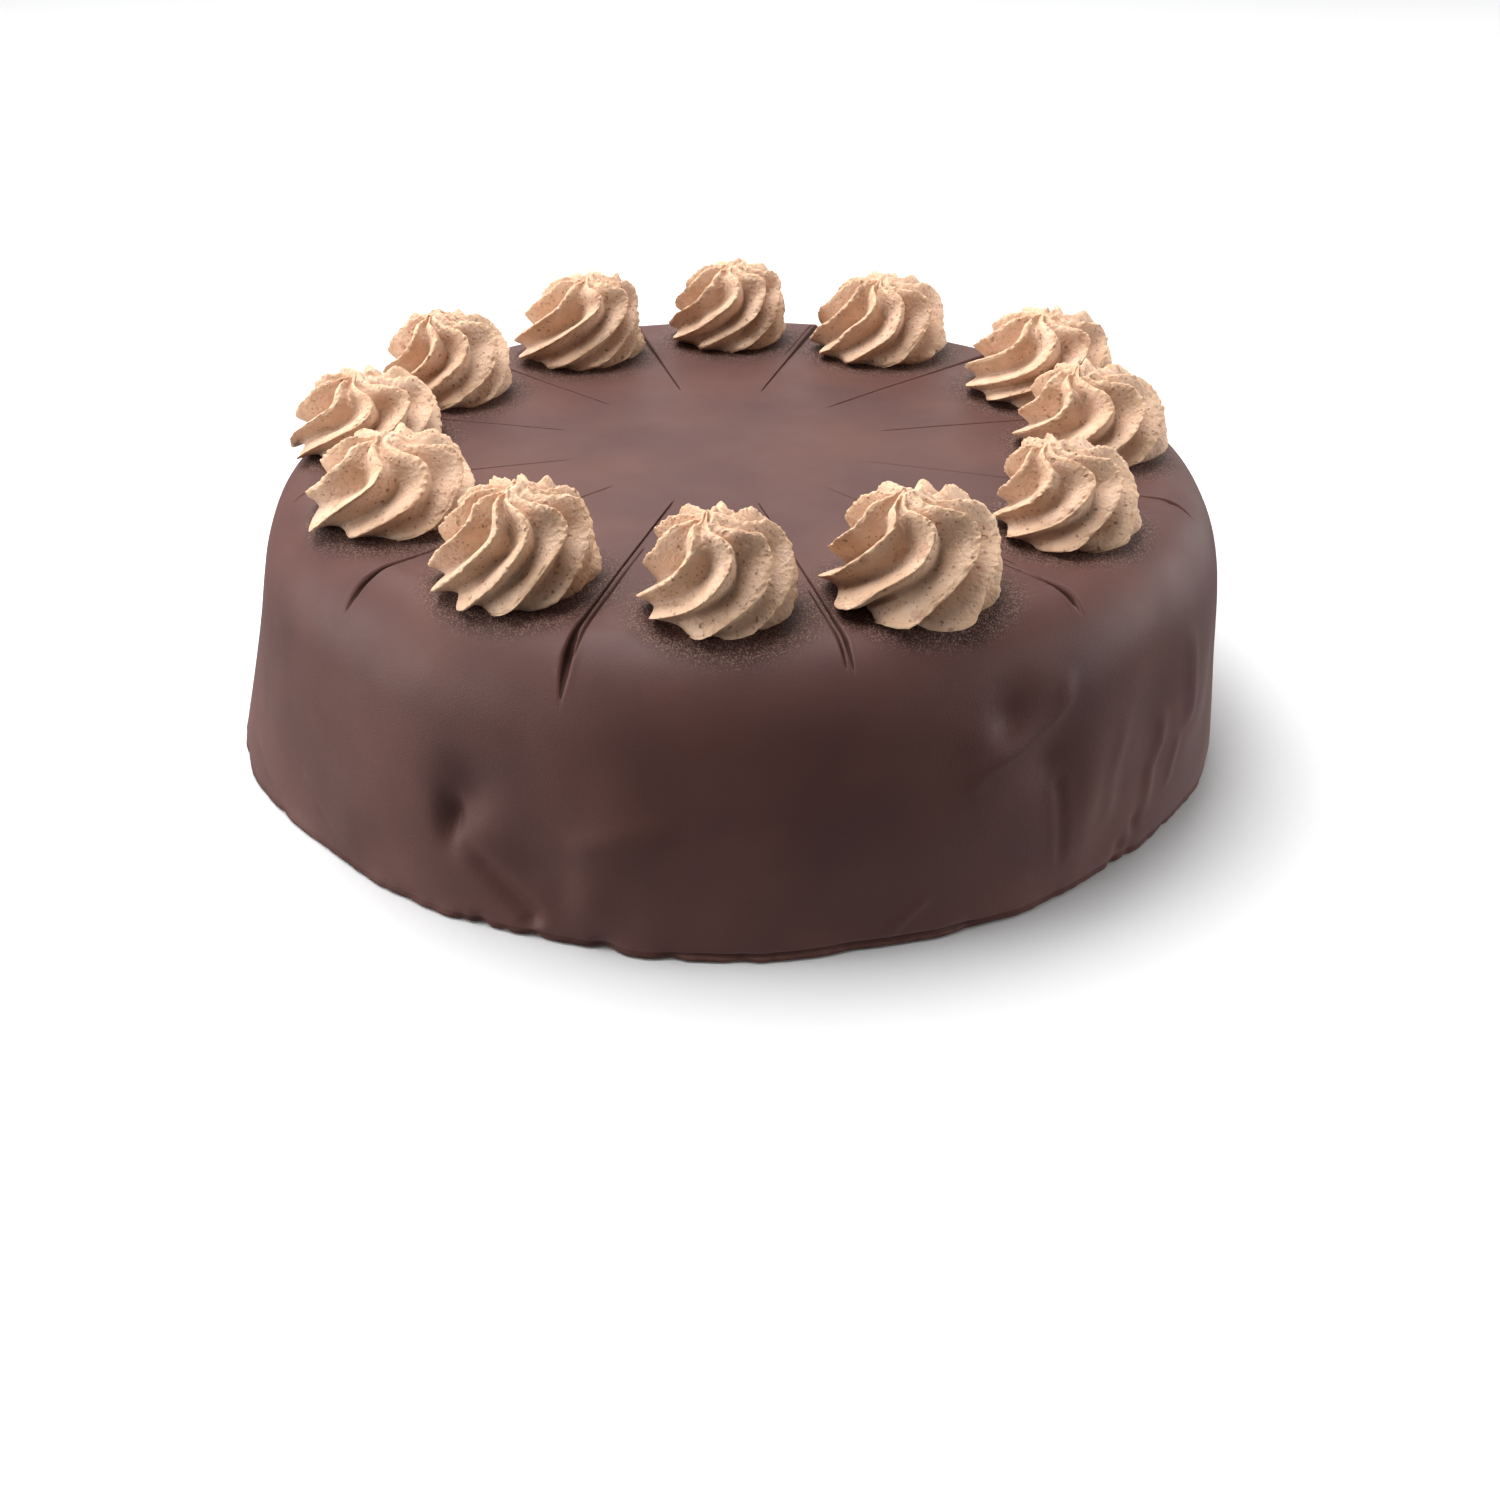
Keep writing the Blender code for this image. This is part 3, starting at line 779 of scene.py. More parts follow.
@dataclass(frozen=True)
class PipedRosette:
    """One rosette of chestnut cream, piped through a star tip with a turn of the hand.

    The first fields are those of its solid, whose form it keeps.
    """

    index: int
    turn: float  # degrees round the ring from its even place
    out: float  # mm outwards from the ring
    radius_mm: float
    height_mm: float
    ridges: int
    first_foot: float  # the direction in which one ridge's foot points
    twist: float
    lean: float  # mm by which the crown stands to +X
    gathered: tuple[float, float] = (-1.0, -1.0)  # mm by which the ridges' ends are drawn off the middle
    blunt: float = 0.24  # how rounded its crests are
    squeezed: float = 0.05  # share by which its foot is drawn in at the front right
    lipped: tuple[int, ...] = ()  # ridges whose foot curls over a hollow

    # The same for all twelve: first the form that the solid has too.
    ring_centre: tuple[float, float] = (0.8 * MM, -1.2 * MM)  # of the ring that all twelve form
    ring_radius: float = 89.0 * MM
    ring_turn: float = -1.0  # even direction of the first, in degrees
    settle: float = 0.75  # how far its foot follows the fall of the cake's top
    tuck_share: float = 0.08  # share of the way up its surface over which the foot is tucked in
    contact_tuck: float = 0.18  # how much narrower it is where it meets the cake
    waist_share: float = 0.13  # how far up it is widest
    crown_share: float = 0.94  # how far up the ridges end
    dome_power: float = 0.70  # how pointed the dome is
    lopsided: float = 0.16  # how much fuller it is to +X
    valley_depth: float = 0.31  # share of the radius
    foot_open: float = 0.60  # how deep the valleys still are where the rosette meets the cake
    foot_sweep: float = 0.06  # how much further its foot reaches to -X
    width_spread: float = 0.15  # how much the ridges differ in width
    reach_spread: float = 0.06
    depth_spread: float = 0.15
    twist_ease: float = 1.4  # how early the ridges turn
    twist_top: float = 0.82  # how far up they have made their whole turn
    crown_curl: float = 10.0  # how far they turn on at the crown, in degrees

    # Then what only its surface has.
    columns_per_ridge: int = 36
    rings: int = 140
    under_rings: int = 4
    ring_spacing: float = 1.3  # how the rings draw together towards the crown
    crowding: float = 0.35  # how much closer the columns stand at a ridge's crest
    steep_side: float = 0.46  # share of a ridge's width over which it drops on its steep side
    crown_blunt: float = 0.42  # how much more rounded the crests are at the crown
    groove_depth: float = 0.90  # how deep the valleys are against the solid's
    groove_fade: float = 7.0  # how far in over the crown they stay deep
    closing: float = 0.40  # how much shallower they are there
    swirl: float = -55.0  # turn of the ridges back round the crown, in degrees
    squeeze_side: float = 1.0  # radians clockwise from +X at which the foot is squeezed
    crest_lean: float = 0.5 * MM  # how far the crests lean over sideways
    wander: float = 1.6 * MM  # how far a ridge strays sideways
    uneven: float = 0.35  # how much a valley's depth changes along it
    knee: float = 0.15 * MM  # how high a crest stands up where it bends over the crown
    dish: float = 1.0 * MM  # how far the crown's middle is sunk
    petal: float = 0.5 * MM  # how much the ridges' ends differ in height
    foot_flare: float = 0.9 * MM  # how far the crests stand out just above the cake
    lip_flare: float = 1.0 * MM  # how far a lipped foot stands out, and how far it swings round
    lip_swing: float = 2.6 * MM
    lip_hollow: float = 1.3  # how much deeper the hollow beside it is
    lump_size: float = 4.2 * MM  # lumps, pores and grain, all over
    lump_depth: float = 0.34 * MM
    pore_size: float = 1.5 * MM
    pore_depth: float = 0.15 * MM
    grain_size: float = 0.75 * MM
    grain_depth: float = 0.11 * MM
    torn: float = 0.26 * MM  # how rough the crests are
    crown_lumps: float = 0.40 * MM  # further lumps and pores at the crown
    crown_pores: float = 0.22 * MM

    @property
    def name(self) -> str:
        """The piece's name."""
        return f"cream_rosette_{self.index + 1:02d}"

    @property
    def node(self) -> str:
        """The solid that it stands for."""
        return f"rosette_{self.index + 1:02d}"

    @property
    def radius(self) -> float:
        """Radius at its widest, in metres."""
        return self.radius_mm * MM

    @property
    def height(self) -> float:
        """Height, in metres."""
        return self.height_mm * MM

    def centre(self) -> np.ndarray:
        """Finds the middle of its foot.

        Returns:
            The place in the plan.
        """
        angle = math.radians(self.ring_turn + PORTION_ANGLE * self.index + self.turn)
        reach = self.ring_radius + self.out * MM
        return np.array(self.ring_centre) + reach * np.array([math.cos(angle), math.sin(angle)])

    def ridge_plan(self) -> np.ndarray:
        """Draws how the ridges differ.

        Returns:
            Each ridge's direction, width to the next, reach and depth, one row each.
        """
        draw = random.Random(self.index)
        low, high = 1.0 - self.width_spread, 1.0 + self.width_spread
        widths = [draw.uniform(low, high) for _ in range(self.ridges)]
        scale = 360.0 / sum(widths)
        direction = self.first_foot
        rows = []
        for width in widths:
            reach = draw.uniform(1.0 - self.reach_spread, 1.0 + self.reach_spread)
            depth = draw.uniform(1.0 - self.depth_spread, 1.0 + self.depth_spread)
            rows.append((direction, width * scale, reach, depth))
            direction += width * scale
        return np.array(rows)

    def twist_share(self, up: np.ndarray) -> np.ndarray:
        """Share of the twist that a ridge has made at each share of the height."""
        return 1.0 - (1.0 - np.minimum(1.0, up / self.twist_top)) ** self.twist_ease

    def build(self, material: bpy.types.Material) -> bpy.types.Object:
        """Models the rosette.

        Args:
            material: The cream.

        Returns:
            The piece.
        """
        columns = self.columns_per_ridge * self.ridges
        mesh, ring, column = SphereGrid(self.name, columns, self.rings).mesh()
        ridge = column // self.columns_per_ridge
        phase = crowded((column % self.columns_per_ridge) / self.columns_per_ridge, self.crowding)
        upward = np.clip((ring - self.under_rings) / (self.rings - self.under_rings), 0.0, 1.0)
        share = 1.0 - (1.0 - upward) ** self.ring_spacing
        places, crest, hollow = self.surface(ridge, phase, share)
        under = np.minimum(1.0, ring / self.under_rings)
        places *= (under**0.8)[:, None]
        centre = self.centre()
        bed = float(COAT.surface_height(*centre))
        settled = COAT.surface_height(centre[0] + places[:, 0], centre[1] + places[:, 1]) - bed
        places[:, 2] += self.settle * settled * (1.0 - np.clip(places[:, 2] / self.height, 0.0, 1.0)) ** 2
        places += np.array([centre[0], centre[1], bed])
        move_points(mesh, places)
        write_attribute(mesh, "crest", crest)
        # The valleys' share, which the cream darkens with painted shade.
        write_attribute(mesh, "hollow", hollow)
        return settle_piece(mesh, self.node, material)

    def by_hand(self, ridge: np.ndarray, phase: np.ndarray, up: np.ndarray, shift: float) -> np.ndarray:
        """How the hand wavered along the ridges.

        Args:
            ridge: The ridge that each point belongs to.
            phase: From 0 on that ridge's crest to 1 on the next ridge's.
            up: Share of the height.
            shift: Moves the pattern.

        Returns:
            Between about -1 and 1 at each point, flowing from one ridge's to the next one's.
        """
        over = eased(phase, 0.15, 0.85)
        wavered = np.zeros_like(up)
        for of_ridge, share in ((ridge, 1.0 - over), (ridge + 1, over)):
            first = of_ridge % self.ridges * 7.3 + self.index * 31.7
            run = np.stack([first, up * 3.4, np.zeros_like(up)], axis=1)
            wavered += share * noise_over(run, 1.0, shift)
        return wavered

    def roughness(
        self, places: np.ndarray, crest: np.ndarray, crown: np.ndarray
    ) -> tuple[np.ndarray, np.ndarray]:
        """How rough the cream is.

        Args:
            places: The points about the middle of the foot.
            crest: How much each is on a crest.
            crown: How much each is on the crown.

        Returns:
            The move outwards at each point, in metres, and its share of pores, between about -1 and 1.
        """
        seed = 17.0 * self.index
        lumps = noise_over(places, self.lump_size, seed)
        pores = noise_over(places, self.pore_size, seed + 5.0)
        grain = noise_over(places, self.grain_size, seed + 9.0)
        rough = lumps * self.lump_depth + pores * self.pore_depth + grain * self.grain_depth
        rough += crest**3 * (pores * 0.9 + grain * 0.9) * self.torn
        return rough + crown * (pores * self.crown_pores + lumps * self.crown_lumps), pores

    def surface(
        self, ridge: np.ndarray, phase: np.ndarray, share: np.ndarray
    ) -> tuple[np.ndarray, np.ndarray, np.ndarray]:
        """Works out the piped surface about the middle of the foot.

        Args:
            ridge: The ridge that each point belongs to.
            phase: From 0 on that ridge's crest to 1 on the next ridge's.
            share: From 0 where the rosette meets the cake to 1 at its crown.

        Returns:
            The places, how much each is on a crest, and how much in a valley.
        """
        plan = self.ridge_plan()
        direction, width, reach, depth = (plan[ridge, column] for column in range(4))
        waist = self.waist_share * self.height
        open_foot = np.minimum(1.0, share / self.tuck_share)
        lift = math.pi / 2.0 * np.maximum(0.0, share - self.tuck_share) / (1.0 - self.tuck_share)
        inward = 2.0 * lift / math.pi
        height = waist * open_foot + (self.crown_share * self.height - waist) * np.sin(lift)
        up = height / self.height
        crown = eased(inward, 0.75, 0.95)

        # The section of a ridge: a wedge with one steep side and a rounded crest.
        down = np.minimum(1.0, phase / self.steep_side)
        rise = np.minimum(1.0, (1.0 - phase) / (1.0 - self.steep_side))
        tent = np.minimum(down, rise)
        blunt = self.blunt + self.crown_blunt * eased(share, 0.55, 0.85)
        rounded = (np.sqrt(tent**2 + blunt**2) - blunt) / (np.sqrt(1.0 + blunt**2) - blunt)
        valley = 0.8 * np.sin(0.5 * math.pi * rounded) + 0.2 * rounded
        crest = np.clip(1.0 - 2.2 * rounded, 0.0, 1.0) ** 1.5
        stray = self.by_hand(ridge, phase, up, 0.0) * self.wander
        wavered = self.by_hand(ridge, phase, up, 40.5)

        # The turn and reach of the ridges from foot to crown.
        twist = self.twist * (self.twist_share(up) - float(self.twist_share(np.array(self.waist_share))))
        curl = self.crown_curl * inward**4 + self.swirl * inward**5
        turn = np.radians(direction + width * phase + twist + curl)
        fullness = np.cos(lift) ** (self.dome_power - self.lopsided * np.cos(turn))
        tuck = 1.0 - self.contact_tuck * (1.0 - open_foot) ** 1.5
        stretch = (reach - self.foot_sweep * np.cos(turn) - 1.0) * (1.0 - up)
        stretch -= self.squeezed * (0.5 + 0.5 * np.cos(turn + self.squeeze_side)) * (1.0 - up) ** 2

        # The valleys, and the lips over the hollows at the foot.
        pocket = self.groove_depth * (1.0 + self.uneven * wavered) * (0.85 + 0.45 * bell(up - 0.75, 0.28))
        sink = self.valley_depth * self.radius * depth * valley * pocket
        sink *= self.foot_open + (1.0 - self.foot_open) * open_foot
        sink *= (1.0 - inward**self.groove_fade) * (0.62 + 0.38 * eased(up, 0.05, 0.40))
        low = bell(up - 0.10, 0.14)
        sink *= 1.0 + self.lip_hollow * np.isin(ridge, self.lipped) * low * bell(phase - 0.28, 0.17)
        lip = np.isin((ridge + (phase > 0.5)) % self.ridges, self.lipped) * low * crest
        flare = self.foot_flare * bell(height - 0.7 * waist, 2.4 * MM) * crest + self.lip_flare * lip
        radius = self.radius * fullness * tuck * (1.0 + stretch) - sink * np.cos(lift) + flare

        leaning = self.crest_lean * crest * open_foot + stray * (0.4 + 0.6 * crest)
        sideways = leaning * np.clip(2.0 * radius / self.radius, 0.0, 1.0)
        sideways += self.lip_swing * lip * open_foot
        turn += sideways / np.maximum(radius, 2.0 * MM)
        places = crossing(turn) * radius[:, None]
        places[:, 0] += self.lean * MM * up**3
        places[:, :2] += np.array(self.gathered) * MM * eased(inward, 0.45, 0.95)[:, None]

        # The crown: ridges' ends of unequal height round a sunken middle with a small tip.
        places[:, 2] = height - sink * (1.0 - self.closing * eased(inward, 0.45, 0.85)) * np.sin(lift)
        places[:, 2] += self.knee * bell(up - 0.86, 0.07) * crest - self.dish * eased(inward, 0.64, 0.92)
        places[:, 2] += self.petal * crest * bell(inward - 0.74, 0.10) * wavered
        rough, pores = self.roughness(places, crest, crown)
        outward = crossing(turn) * np.cos(lift)[:, None]
        outward[:, 2] = np.sin(lift)
        places += outward * (rough * open_foot)[:, None]
        tip = bell(1.0 - share, 0.04)
        places[:, 2] += tip * (self.height - places[:, 2]) * (0.55 + 0.6 * pores)
        return places, crest, valley * (1.0 - 0.5 * crown)


ROSETTES = (
    PipedRosette(0, +3.2, +2.2, 18.5, 22.4, 9, -65, 85, -5.5),
    PipedRosette(1, -0.6, +5.4, 19.8, 23.4, 9, -130, 105, +0.8),
    PipedRosette(2, +2.4, -0.5, 18.8, 22.6, 10, -80, 60, +0.8),
    PipedRosette(3, +1.0, -1.0, 16.5, 23.8, 9, -110, 90, +2.2),
    PipedRosette(4, +0.5, -5.5, 17.3, 24.5, 9, -105, 100, +4.5),
    PipedRosette(5, +1.0, -4.0, 17.0, 23.6, 9, -80, 90, -2.5),
    PipedRosette(6, -4.0, +1.3, 18.6, 19.2, 9, -103, 90, -0.5),
    PipedRosette(7, -2.0, -3.3, 19.4, 21.0, 8, -152, 80, -0.4, blunt=0.18),
    PipedRosette(8, +0.8, -0.4, 18.2, 24.6, 11, -125, 70, +0.6, squeezed=0.12),
    PipedRosette(9, +0.8, +1.5, 17.2, 25.0, 9, -105, 95, -5.3, (1.0, -3.0), 0.14, 0.18),
    PipedRosette(10, -2.6, +1.8, 18.9, 26.2, 9, -146, 90, -2.2, (-1.5, -3.0), 0.16, 0.08, (0, 1, 2)),
    PipedRosette(11, +0.0, +1.0, 16.6, 22.5, 9, -140, 95, -5.2, lipped=(1, 2)),
)


# ---------------------------------------------------------------------------------------------------
# Finishes.


class NodeBench:
    """Places and links the nodes of one material or node group."""

    def __init__(self, tree: bpy.types.NodeTree) -> None:
        """Starts on a node tree."""
        self.tree = tree
        self.count = 0

    def add(self, kind: str, inputs: dict | None = None, **settings: object) -> bpy.types.Node:
        """Adds a node.

        Args:
            kind: The node's type.
            inputs: Values, or sockets to link, by input name or number.
            settings: The node's own properties.

        Returns:
            The node.
        """
        node = self.tree.nodes.new(kind)
        node.location = (220.0 * (self.count % 8), -240.0 * (self.count // 8))
        self.count += 1
        for key, value in settings.items():
            setattr(node, key, value)
        self.supply(node, inputs or {})
        return node

    def feed(self, socket: Socket, value: object) -> None:
        """Links a socket to an output, or sets its value.

        Args:
            socket: An input.
            value: A socket to link, or a value.
        """
        if isinstance(value, bpy.types.NodeSocket):
            self.tree.links.new(value, socket)
        else:
            socket.default_value = value

    def supply(self, node: bpy.types.Node, inputs: dict) -> None:
        """Feeds several of a node's inputs, by name or number."""
        for key, value in inputs.items():
            self.feed(node.inputs[key], value)

    def maths(self, operation: str, first: object, second: object, clamp: bool = False) -> Socket:
        """Joins two numbers by an operation, and gives the result."""
        node = self.add("ShaderNodeMath", {0: first, 1: second}, operation=operation, use_clamp=clamp)
        return node.outputs[0]

    def attribute(self, name: str) -> Socket:
        """Reads a number that the mesh's points carry."""
        return self.add("ShaderNodeAttribute", attribute_name=name).outputs["Fac"]

    def blend(self, share: object, first: object, second: object) -> Socket:
        """Mixes two colours, the second by this share."""
        node = self.add("ShaderNodeMix", {0: share, 6: first, 7: second}, data_type="RGBA")
        return node.outputs[2]

    def stain(self, base: object, mask: Socket, share: float, tint: Colour) -> Socket:
        """Lays a colour over another where a mask says, at most by this share."""
        return self.blend(self.maths("MULTIPLY", mask, share), base, tint)

    def ramp(
        self, value: object, low: float, high: float, start: float = 0.0, end: float = 1.0
    ) -> Socket:
        """Stretches a range of a number onto another, clamped."""
        fed = {"Value": value, "From Min": low, "From Max": high, "To Min": start, "To Max": end}
        return self.add("ShaderNodeMapRange", fed).outputs["Result"]

    def relief(self, height: Socket, strength: float) -> Socket:
        """Turns a height into a fine relief of at most half a millimetre."""
        fed = {"Height": height, "Strength": strength, "Distance": 0.5 * MM}
        return self.add("ShaderNodeBump", fed).outputs["Normal"]


def colour(red: float, green: float, blue: float) -> Colour:
    """An opaque colour from its linear shares."""
    return (red, green, blue, 1.0)


def start_group(
    name: str, numbers: dict[str, float], output: str
) -> tuple[NodeBench, dict[str, Socket], bpy.types.Node]:
    """Starts a shader node group that takes a place and some numbers.

    Args:
        name: The group's name.
        numbers: Its number inputs and their first values.
        output: Its number output.

    Returns:
        The bench, the input sockets by name, and the output node.
    """
    tree = bpy.data.node_groups.new(name, "ShaderNodeTree")
    tree.interface.new_socket("Place", in_out="INPUT", socket_type="NodeSocketVector")
    for label, value in numbers.items():
        socket = tree.interface.new_socket(label, in_out="INPUT", socket_type="NodeSocketFloat")
        socket.default_value = value
    tree.interface.new_socket(output, in_out="OUTPUT", socket_type="NodeSocketFloat")
    bench = NodeBench(tree)
    inside = bench.add("NodeGroupInput")
    outside = bench.add("NodeGroupOutput")
    return bench, {socket.name: socket for socket in inside.outputs}, outside


def speckle_group() -> bpy.types.NodeTree:
    """A scatter of small specks.

    Returns:
        The group, whose mask is 1 on each speck.
    """
    first = {"Scale": 1000.0, "Size": 0.3, "Share": 0.2, "Softness": 0.1, "Ragged": 0.25}
    bench, fed, out = start_group("speckle", first, "Mask")
    closer = bench.maths("MULTIPLY", fed["Scale"], 1.9)
    wobble = bench.add("ShaderNodeTexNoise", {"Vector": fed["Place"], "Scale": closer, "Detail": 1.0})
    cells = bench.add("ShaderNodeTexVoronoi", {"Vector": fed["Place"], "Scale": fed["Scale"]})
    shaken = bench.maths("MULTIPLY", bench.maths("SUBTRACT", wobble.outputs[0], 0.5), fed["Ragged"])
    apart = bench.maths("ADD", cells.outputs["Distance"], shaken)
    drawn = bench.add("ShaderNodeSeparateColor", {"Color": cells.outputs["Color"]})
    size = bench.maths("MULTIPLY", fed["Size"], bench.maths("ADD", drawn.outputs[1], 0.35))
    edge = bench.add("ShaderNodeMapRange", {"Value": apart, "To Min": 1.0, "To Max": 0.0})
    bench.feed(edge.inputs["From Min"], bench.maths("SUBTRACT", size, fed["Softness"]))
    bench.feed(edge.inputs["From Max"], size)
    chosen = bench.maths("LESS_THAN", drawn.outputs[0], fed["Share"])
    bench.feed(out.inputs["Mask"], bench.maths("MULTIPLY", edge.outputs["Result"], chosen))
    return bench.tree


def grain_group() -> bpy.types.NodeTree:
    """Fine grain.

    Returns:
        The group, whose height wavers about zero.
    """
    bench, fed, out = start_group("grain", {"Scale": 1500.0, "Detail": 3.0, "Depth": 1.0}, "Height")
    given = {"Vector": fed["Place"], "Scale": fed["Scale"], "Detail": fed["Detail"]}
    soft = bench.add("ShaderNodeTexNoise", given)
    centred = bench.maths("SUBTRACT", soft.outputs[0], 0.5)
    bench.feed(out.inputs["Height"], bench.maths("MULTIPLY", centred, fed["Depth"]))
    return bench.tree


def mottle_group() -> bpy.types.NodeTree:
    """Slow patches of difference.

    Returns:
        The group, whose patches run from 0 to 1.
    """
    bench, fed, out = start_group("mottle", {"Scale": 60.0, "Contrast": 2.0}, "Patch")
    slow = bench.add("ShaderNodeTexNoise", {"Vector": fed["Place"], "Scale": fed["Scale"], "Detail": 2.0})
    centred = bench.maths("MULTIPLY", bench.maths("SUBTRACT", slow.outputs[0], 0.5), fed["Contrast"])
    bench.feed(out.inputs["Patch"], bench.maths("ADD", centred, 0.5, clamp=True))
    return bench.tree


@dataclass(frozen=True)
class Specks:
    """One kind of speck, and how strongly it shows."""

    scale: float  # cells in a metre, each of which has room for one
    size: float
    share: float  # share of the cells that have one
    softness: float
    ragged: float
    strength: float
    tint: Colour


@dataclass(frozen=True)
class SharedEffects:
    """The node groups that both finishes use."""

    speckle: bpy.types.NodeTree = field(default_factory=speckle_group)
    grain: bpy.types.NodeTree = field(default_factory=grain_group)
    mottle: bpy.types.NodeTree = field(default_factory=mottle_group)

    def place(
        self, bench: NodeBench, group: bpy.types.NodeTree, where: Socket, **numbers: object
    ) -> Socket:
        """Places a group in a material.

        Args:
            bench: The material's bench.
            group: The group.
            where: The place socket that it reads.
            numbers: Its values.

        Returns:
            The group's output.
        """
        node = bench.add("ShaderNodeGroup", node_tree=group)
        bench.supply(node, {"Place": where, **numbers})
        return node.outputs[0]

    def scatter(
        self, bench: NodeBench, where: Socket, specks: Specks, share: Socket | None = None
    ) -> Socket:
        """Scatters one kind of speck over a material.

        Args:
            bench: The material's bench.
            where: The place socket.
            specks: The kind of speck.
            share: Takes the place of its own share where that changes over the surface.

        Returns:
            The specks' mask.
        """
        numbers = {"Scale": specks.scale, "Size": specks.size, "Share": share or specks.share}
        numbers.update({"Softness": specks.softness, "Ragged": specks.ragged})
        return self.place(bench, self.speckle, where, **numbers)


def new_finish(name: str) -> tuple[bpy.types.Material, NodeBench, bpy.types.Node, Socket]:
    """Starts a material.

    Args:
        name: The material's name.

    Returns:
        The material, its bench, its shader, and the object's own coordinates.
    """
    material = bpy.data.materials.new(name)
    material.use_nodes = True
    bench = NodeBench(material.node_tree)
    shader = material.node_tree.nodes["Principled BSDF"]
    where = bench.add("ShaderNodeTexCoord").outputs["Object"]
    return material, bench, shader, where


@dataclass(frozen=True)
class ChocolateFinish:
    """Satin dark chocolate, speckled with fine drops round the rosettes; the drops' light tint is a painted
    glint, and the coat close round the rosettes is darkened with painted shade.
    """

    deep: Colour = colour(0.071, 0.0300, 0.0268)
    warm: Colour = colour(0.101, 0.0422, 0.0340)
    shade: Colour = colour(0.026, 0.0098, 0.0072)  # painted shade of the pits, and of the coat close round the rosettes' feet
    slit_rim: Colour = colour(0.115, 0.040, 0.027)
    slit_floor: Colour = colour(0.032, 0.0115, 0.0080)
    cut_edge: Colour = colour(0.16, 0.075, 0.052)
    pits: Specks = Specks(1700.0, 0.60, 0.6, 0.35, 0.3, 0.6, shade)
    # Raised beads whose light tint is a painted glint, besides their bump in the relief.
    drops: Specks = Specks(3000.0, 0.66, 0.95, 0.42, 0.25, 0.78, colour(0.30, 0.176, 0.136))
    roughness: float = 0.55
    ior: float = 1.46
    sheen: float = 0.25  # strength of the mirrored light, which is usually 0.5

    def make(self, effects: SharedEffects) -> bpy.types.Material:
        """Builds the material.

        Args:
            effects: The shared node groups.

        Returns:
            The material.
        """
        material, bench, shader, where = new_finish("dark_chocolate_coat")
        halo, slit, trimmed = (bench.attribute(name) for name in ("halo", "slit", "trimmed"))
        patch = effects.place(bench, effects.mottle, where, Scale=38.0, Contrast=2.4)
        base = bench.blend(patch, self.deep, self.warm)

        near = bench.ramp(halo, 0.1, 0.85)
        pits = effects.scatter(bench, where, self.pits)
        drops = effects.scatter(bench, where, self.drops, bench.ramp(halo, 0.0, 0.5, 0.35, 0.95))
        pitted = bench.maths("MULTIPLY", pits, near)
        beads_and_glints = bench.maths("MULTIPLY", drops, bench.ramp(halo, 0.0, 0.55))
        # Painted shade: the pits, and the coat close round the rosettes' feet, darkened.
        base = bench.stain(base, pitted, self.pits.strength, self.pits.tint)
        base = bench.stain(base, near, 0.50, self.shade)
        # Painted highlight: the raised beads lightened as glints.
        base = bench.stain(base, beads_and_glints, self.drops.strength, self.drops.tint)
        rim = bench.maths("MULTIPLY", bench.ramp(slit, 0.02, 0.25), bench.ramp(slit, 0.75, 0.30))
        base = bench.stain(base, rim, 0.6, self.slit_rim)
        base = bench.blend(bench.ramp(slit, 0.30, 0.52, 0.0, 0.95), base, self.slit_floor)
        chips = effects.place(bench, effects.mottle, where, Scale=420.0, Contrast=7.0)
        base = bench.stain(base, bench.maths("MULTIPLY", trimmed, chips), 0.6, self.cut_edge)

        uneven = effects.place(bench, effects.mottle, where, Scale=90.0, Contrast=2.0)
        rough = bench.ramp(uneven, 0.0, 1.0, self.roughness - 0.04, self.roughness + 0.05)
        rough = bench.maths("ADD", rough, bench.maths("MULTIPLY", near, 0.06))
        rough = bench.maths("ADD", rough, bench.maths("MULTIPLY", slit, 0.35))
        satin = effects.place(bench, effects.grain, where, Scale=2600.0, Detail=2.0, Depth=0.15)
        height = bench.maths("SUBTRACT", satin, bench.maths("MULTIPLY", pitted, 0.28))
        height = bench.maths("ADD", height, bench.maths("MULTIPLY", beads_and_glints, 0.55))
        normal = bench.relief(height, 0.8)
        bench.supply(shader, {"Base Color": base, "Roughness": rough, "Normal": normal})
        bench.supply(shader, {"IOR": self.ior, "Specular IOR Level": self.sheen})
        return material


